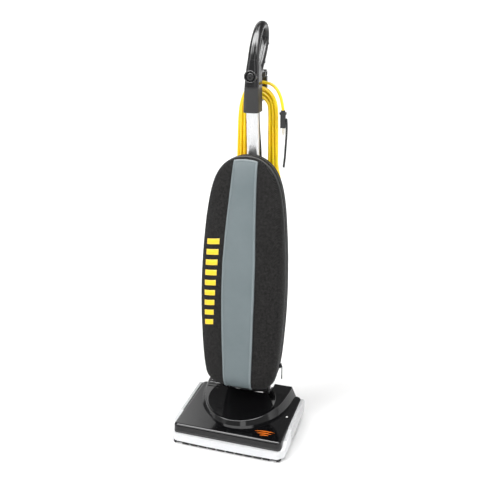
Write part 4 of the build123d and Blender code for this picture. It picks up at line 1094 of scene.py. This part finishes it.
def hank_end(cell, top, turn, angles):
    """A half turn over the upper hook or under the lower one. Angles run from the right column."""
    layer, row = cell
    middle, half = (RIGHT_X + LEFT_X) / 2, loop_half(layer)
    if top:
        rise = half * (TALL + 0.05 * layer)
        base = CROWN_Z + CROWN_STEP * layer - rise + 0.5 * math.sin(turn * 2.3)
    else:
        slack = 1.5 + 1.5 * math.sin(turn * 1.7)
        rise = -(FOOT_DEPTH + LAYER * layer + slack)
        base = HEEL_Z + FOOT_DEPTH
    grow = 1 / math.cos(math.radians(15))
    y = FRONT_ROW_Y + ROW * row
    return [(middle + half * grow * math.cos(math.radians(a)), y, base + rise * grow * math.sin(math.radians(a)))
            for a in angles]


def hank_points():
    points = list(LEAD_IN)
    last = len(TURNS) - 1
    for turn, cell in enumerate(TURNS):
        if turn == 0:
            points += [hank_column(1, cell, z) for z in (530, 512)]
        points += hank_end(cell, False, turn, (15, 45, 75, 105, 135, 165))
        points += [hank_column(-1, cell, z) for z in (520, 600, 680, 760, 840, 885)]
        if turn == last:
            points += [(-51, 117, 920), (-45, 117, 948), (-33, 116.5, 974), (-14, 115, 991), (7, 112.5, 996)]
            points += LEAD_OUT
            break
        points += hank_end(cell, True, turn, (165, 135, 105, 75, 45, 15))
        change_z = 560 + 26 * turn
        columns = [z for z in (885, 840, 795, 750, 700, 640) if z > change_z + 35]
        points += [hank_column(1, cell, z) for z in columns + [change_z + 17]]
        following = TURNS[turn + 1]
        points += [hank_column(1, following, change_z - 17)]
        points += [hank_column(1, following, z) for z in (660, 600, 540) if z < change_z - 45]
        points += [hank_column(1, following, 512)]
    return points


def make_mains_cord():
    cord = cord_curve("mains_cord", hank_points(), CORD_D, "cord_yellow")
    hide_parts("cord_hank", "cord_lead_in", "cord_tail")
    strap = make_strap()


def make_lead():
    points = [(11.5, 84, 926), (12, 84.5, 890), (14.5, 88, 845), (17, 91, 797), (17, 89.5, 745), (17.5, 86, 680),
              (17.5, 82.5, 600), (18, 79, 510), (18.5, 76.5, 420), (19.5, 73, 330), (21, 70, 250), (21.5, 68, 185)]
    lead = cord_curve("switch_lead", points, LEAD_D, "cord_black")
    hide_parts("power_lead")


def make_strap():
    """The hook-and-loop cord tie: a flat webbing strip, thicker at its folded ends."""
    route = smooth_line([(87.4, 93.5, 904), (89, 92.5, 886), (89.5, 90.5, 862), (88.5, 88.5, 832), (87, 86.5, 798),
                         (84.5, 85.5, 770)], 60) * MM
    rings = []
    for i, centre in enumerate(route):
        ahead = route[min(i + 1, 59)] - route[max(i - 1, 0)]
        ahead /= np.linalg.norm(ahead)
        thick = np.cross(np.array((1.0, 0, 0)), ahead)
        thick /= np.linalg.norm(thick)
        wide = np.cross(ahead, thick)
        fold = 0.8 + (0.5 if i > 48 or i < 6 else 0.0)
        rings.append(round_ring(centre, wide * MM, thick * MM, 3.1, fold + 0.6, 16))
    vertices, faces = skin(rings, cap_first=True, cap_last=True)
    return add_piece("cord_tie", vertices, faces, "cord_black", "handle", stands_for=["cord_strap"])


make_mains_cord()
make_lead()
